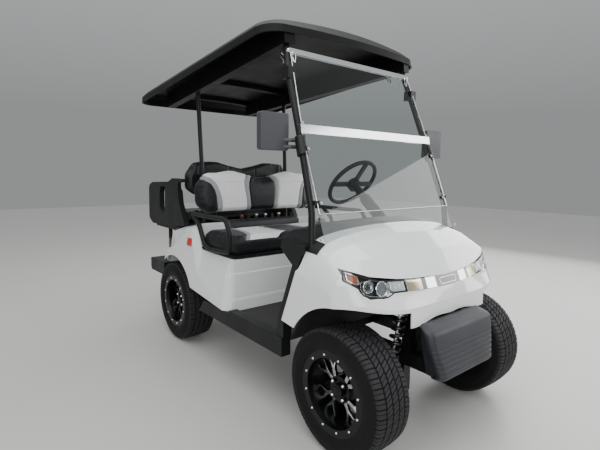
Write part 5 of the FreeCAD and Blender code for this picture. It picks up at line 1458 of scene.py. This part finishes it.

# %% [markdown]
# Clear sheet gathers light at its cut edges, so the screen's outline shines. Real refraction would need
# many bounces of light for it, so a thin bright bar lies along each edge as a painted highlight. Wire hooks
# and a round-headed bolt here and there hold the panes, and bolts hold the roof.

# %% Screen edges and bolts
# Screen in the side view: place behind the front axle, height and half width of the pane, in m
PANE_LOW = [(0.176, 1.077, 0.522), (0.324, 1.468, 0.516)]
PANE_HIGH = [(0.324, 1.468, 0.510), (0.480, 1.880, 0.470)]
EDGE_WIDE, EDGE_THICK = 0.0045, 0.0040
# Section of a chamfered bar, as shares of its half width and half thickness
BAR_SECTION = ((1.0, 0.6), (0.6, 1.0), (-0.6, 1.0), (-1.0, 0.6), (-1.0, -0.6), (-0.6, -1.0), (0.6, -1.0),
               (1.0, -0.6))
# Heights of the screen's bolts, and their place out from the middle below and above the foot plates' top (m)
BOLT_HEIGHTS = (0.965, 1.130, 1.385, 1.510)
FOOT_PLATE_TOP, LOW_BOLT_OUT, HIGH_BOLT_OUT = 1.0, 0.548, 0.500


def strip_bar(start, end, wide, thick, across):
    """A thin bar with chamfered corners between two places; `across` is its wide direction."""
    along = (end - start).normalized()
    across = (across - along * across.dot(along)).normalized()
    other = along.cross(across)
    points = [place + across * (wide * u / 2) + other * (thick * v / 2)
              for place in (start, end) for u, v in BAR_SECTION]
    count = len(BAR_SECTION)
    faces = [(i, (i + 1) % count, count + (i + 1) % count, count + i) for i in range(count)]
    return points, faces + [tuple(range(count)), tuple(range(2 * count - 1, count - 1, -1))]


def bolt_head(place, aim, radius):
    """A round-headed bolt with a washer."""
    return lathe([(-0.001, radius * 1.5), (0.001, radius * 1.5), (0.0014, radius), (0.0032, radius * 0.9),
                  (0.0044, radius * 0.5), (0.0047, 0.0004)], place, aim, 16)


def on_pane(height):
    """Place behind the front axle of the screen at a height."""
    for (low_y, low_z, _), (high_y, high_z, _) in (PANE_LOW, PANE_HIGH):
        if height <= high_z:
            return low_y + (high_y - low_y) * (height - low_z) / (high_z - low_z)
    return high_y


edges, bolts = [], []
for side in (-1, 1):
    for (low_y, low_z, low_half), (high_y, high_z, high_half) in (PANE_LOW, PANE_HIGH):
        start = Vector((side * (low_half - 0.001), FRONT_AXLE + low_y - 0.006, low_z))
        end = Vector((side * (high_half - 0.001), FRONT_AXLE + high_y - 0.006, high_z))
        edges.append(strip_bar(start, end, EDGE_WIDE, EDGE_THICK, Vector((1, 0, 0))))
    for height in BOLT_HEIGHTS:
        out = HIGH_BOLT_OUT if height > FOOT_PLATE_TOP else LOW_BOLT_OUT
        place = Vector((side * out, FRONT_AXLE + on_pane(height) - 0.010, height))
        bolts.append(bolt_head(place, (0, -1, 0.37), 0.0055))
start, end = (Vector((side * 0.5215, FRONT_AXLE + 0.170, 1.0775)) for side in (-1, 1))
edges.append(strip_bar(start, end, EDGE_THICK, EDGE_WIDE, Vector((0, 1, 0))))
# The bright bars are a painted highlight for the light that the screen's cut edges pipe
make_piece("screen_edge_highlights", *joined(*edges), painted_edge_highlight, "chassis", "screen_clear", 20.0)
print("screen edges:", len(edges))

# %% Hooks, latches and the roof's bolts
LOOP_STEPS = 24


def loop_line(top, reach, wide, lean):
    """A closed loop of wire that hangs from a place and narrows to a point."""
    line = []
    for step in range(LOOP_STEPS + 1):
        turn = math.tau * step / LOOP_STEPS
        drop = reach * (1 - math.cos(turn)) / 2
        line.append(top + Vector((wide * math.sin(turn) * (1 - 0.5 * drop / reach), lean * drop, -drop)))
    return line


hooks, latches = [], []
for side in (-1, 1):
    screen_top = Vector((side * 0.452, FRONT_AXLE + 0.470, 1.876))
    roof_front = Vector((side * 0.432, FRONT_AXLE + 0.600, 1.898))
    hooks.append(sweep(loop_line(screen_top, 0.052, 0.013, -0.2), 0.0032, 8))
    latches.append(sweep(loop_line(roof_front, 0.048, 0.018, -0.7), 0.0030, 8))
    hooks.append(lathe([(-0.012, 0.0120), (0.004, 0.0125), (0.009, 0.0105), (0.012, 0.0060),
                        (0.0128, 0.0008)], (side * 0.474, FRONT_AXLE + 0.484, 1.881), (side, 0, 0), 20))
make_piece("screen_hooks", *joined(*hooks), chrome, "chassis", "screen_bar", 40.0)
make_piece("roof_latches", *joined(*latches), zinc, "chassis", "screen_bar", 40.0)

# Bolts under the roof, where its corner blocks are fixed
for side in (-1, 1):
    for y, z in ((0.500, 1.842), (0.560, 1.842)):
        bolts.append(bolt_head(Vector((side * 0.445, FRONT_AXLE + y, z)), (0, 0, -1), 0.006))
make_piece("fixing_bolts", *joined(*bolts), zinc, "chassis", "screen_bar", 40.0)
print("hooks:", len(hooks), "latches:", len(latches), "bolts:", len(bolts))

# %% [markdown]
# The roof is a thin moulded shell with channels in its underside that keep it from drumming. Cutting them
# into the CAD model would cost thousands of faces, so slim rods that are swept along the shell's own
# underside give the same lines of light and shadow from below.

# %% Stiffening ribs under the roof
roof_tree = surface_tree(("roof",))
# Distance from the middle, and where each run starts and ends behind the front axle, in m
RIB_LINES = [(0.522, 0.52, 0.98), (0.522, 1.03, 1.62), (0.522, 1.68, 2.28), (0.556, 0.56, 1.30),
             (0.556, 1.36, 2.24)]
# The search for the underside starts at this height (m); the rods' middle lies this far below it
SEARCH_FROM, RIB_DROP = 1.2, 0.004
ROD_RADIUS = 0.0065
ROD_STEPS = 12
ribs = []
for side in (-1, 1):
    for x, start, end in RIB_LINES:
        line = []
        for step in range(ROD_STEPS + 1):
            y = FRONT_AXLE + start + (end - start) * step / ROD_STEPS
            hit = roof_tree.ray_cast(Vector((side * x, y, SEARCH_FROM)), Vector((0, 0, 1)))
            line.append(hit[0] - Vector((0, 0, RIB_DROP)))
        ribs.append(sweep(line, ROD_RADIUS, 8))
make_piece("roof_ribs", *joined(*ribs), materials["coil_steel"], "chassis", "roof_black", 40.0)
print("roof ribs:", len(ribs))

# %% [markdown]
# A grained grey moulding wraps the ledge between cushion and backrest. Its side view is a short line, so
# the cover is that line with a thickness, carried across the cart, and drawn down a little at both ends.

# %% Ledge cover
LEDGE_HALF = 0.331
LEDGE_END, LEDGE_DROP = 0.004, 0.0015
# Side view from the rear axle, in mm, from the ledge's front face over its top
LEDGE_LINE = [(-359.0, 866), (-357.5, 896), (-355.5, 903), (-350.0, 907), (-317, 911.5), (-262, 903)]


def ledge_cover():
    """A moulded cover that follows the ledge behind the seat."""
    outer = [Vector((REAR_AXLE + y * MM, z * MM)) for y, z in LEDGE_LINE]
    inner = [point + Vector((0.0022, -0.0022)) for point in outer]
    ring = outer + inner[::-1]
    places = (-LEDGE_HALF, -LEDGE_HALF + LEDGE_END, LEDGE_HALF - LEDGE_END, LEDGE_HALF)
    points = []
    for x in places:
        drop = LEDGE_DROP if abs(x) == LEDGE_HALF else 0.0
        points += [(x, point.x, point.y - drop) for point in ring]
    count = len(ring)
    ends = [tuple(range(count)), tuple(range(4 * count - 1, 3 * count - 1, -1))]
    return points, ring_faces(len(places), count) + ends


make_piece("ledge_cover", *ledge_cover(), materials["bumper_grey"], "chassis", "black_trim", 25.0)
print("ledge cover:", LEDGE_HALF * 2, "m wide")

# %% [markdown]
# Belt buckles stand in a row on the ledge. Their shells come from the CAD model, and what catches the eye
# is a red button and the plated metal at the slots. Both are small chamfered bars, because a coloured
# patch on the shell would have no edge.

# %% Belt buckles
BUCKLE_Y = REAR_AXLE - 0.299
# Distance of each buckle from the middle (m), and whether its button faces forwards
BUCKLES = ((-0.170, True), (-0.042, False), (0.042, False), (0.170, False))
buttons, tongues = [], []
for x, button in BUCKLES:
    top = Vector((x, BUCKLE_Y + 0.004, 0.9478))
    low = top - Vector((0, 0.0085, 0.004))
    face = strip_bar(low - Vector((0.010, 0, 0)), low + Vector((0.010, 0, 0)), 0.012, 0.0035,
                     Vector((0, 0, 1)))
    if button:
        buttons.append(face)
    else:
        tongues.append(face)
    tongues.append(strip_bar(top - Vector((0.009, 0, -0.001)), top + Vector((0.009, 0, 0.001)), 0.010, 0.003,
                             Vector((0, 1, 0))))
make_piece("buckle_button", *joined(*buttons), button_red, "chassis", "buckle_black", 30.0)
make_piece("buckle_tongues", *joined(*tongues), zinc, "chassis", "buckle_black", 30.0)
print("buckles:", len(BUCKLES))

# %% [markdown]
# A red reflector in a plated rim sits on each side of the rear body. It follows the panel's curve, so it
# is draped as the lamps are, but along the axis that runs across the cart.

# %% Side reflectors
# Side view of the reflector, from the rear axle, in mm
REFLECTOR = [(-384, 770), (-379, 763), (-312, 760), (-305, 766), (-303, 812), (-308, 818), (-375, 821),
             (-382, 815)]
REFLECTOR_CELL = 0.014
for side, label in SIDES:
    outline = anticlockwise([(REAR_AXLE + y * MM, z * MM) for y, z in REFLECTOR])
    rim = rim_round(outline, 0.0035, REFLECTOR_CELL, -0.0035, 0.005, SIDE_VIEWS[side])
    make_piece(f"reflector_rim_{label}", *joined(*rim), chrome, "chassis", "white_body", 30.0)
    red = draped(inset(outline, 0.0030), REFLECTOR_CELL, -0.0025, 0.004, SIDE_VIEWS[side])
    make_piece(f"reflector_{label}", *red, reflector_red, "chassis", "white_body", 30.0)
print("side reflectors:", len(SIDES))

# %% [markdown]
# The steering wheel's hub wears a low domed grey pad with a shallow groove round its middle. It is a
# turned form, so `lathe` makes it from half of its section, and it rides on the wheel and turns with it.

# %% Steering wheel hub
WHEEL_CENTRE = Vector((0.290, FRONT_AXLE + 0.752, 1.203))
COLUMN_TILT = math.radians(40.0)
COLUMN_AXIS = Vector((0, math.cos(COLUMN_TILT), math.sin(COLUMN_TILT)))
hub = lathe([(0.000, 0.046), (0.004, 0.0455), (0.008, 0.042), (0.011, 0.034), (0.012, 0.030), (0.0112, 0.028),
             (0.0125, 0.020), (0.0130, 0.0006)], WHEEL_CENTRE + COLUMN_AXIS * 0.0015, COLUMN_AXIS, 40)
make_piece("steering_hub_pad", *hub, hub_grey, "steering_wheel", "wheel_grip", 35.0)
print("hub pad on the steering wheel")

# %% [markdown]
# The cart stands on a plain pale floor of sealed concrete. It only has to catch soft shadows under the
# tyres and meet the room without a line, so one large flat face with slow patches of shine is enough.

# %% Floor
FLOOR_REACH = 14.0
FLOOR_COLOUR, FLOOR_PATCH = "#C9C8C5", "#C1C0BD"
# Width of the patches in mm, and the roughness between which they vary
FLOOR_PATCH_WIDTH = 900
FLOOR_SHINY, FLOOR_DULL = 0.34, 0.46


def floor_finish():
    """Sealed pale floor with slow patches in its shine."""
    material, tree, shader, place = begin("sealed_floor")
    patches = add(tree, "ShaderNodeTexNoise", {"Vector": place, "Scale": per_mm(FLOOR_PATCH_WIDTH),
                                                  "Detail": 4.0})
    tint = add(tree, "ShaderNodeMix", {0: patches.outputs["Fac"], MIX_A: linear(FLOOR_COLOUR),
                                       MIX_B: linear(FLOOR_PATCH)}, data_type="RGBA")
    shine = add(tree, "ShaderNodeMapRange", {"Value": patches.outputs["Fac"], "To Min": FLOOR_SHINY,
                                             "To Max": FLOOR_DULL})
    join(tree, shader, {"Base Color": tint.outputs[MIX_OUT], "Roughness": shine.outputs["Result"]})
    return material


mesh = bpy.data.meshes.new("floor")
mesh.from_pydata([(-FLOOR_REACH, -FLOOR_REACH, 0), (FLOOR_REACH, -FLOOR_REACH, 0),
                  (FLOOR_REACH, FLOOR_REACH, 0), (-FLOOR_REACH, FLOOR_REACH, 0)], [], [(0, 1, 2, 3)])
floor = bpy.data.objects.new("floor", mesh)
bpy.context.scene.collection.objects.link(floor)
floor.data.materials.append(floor_finish())
print("floor:", FLOOR_REACH * 2, "m across")
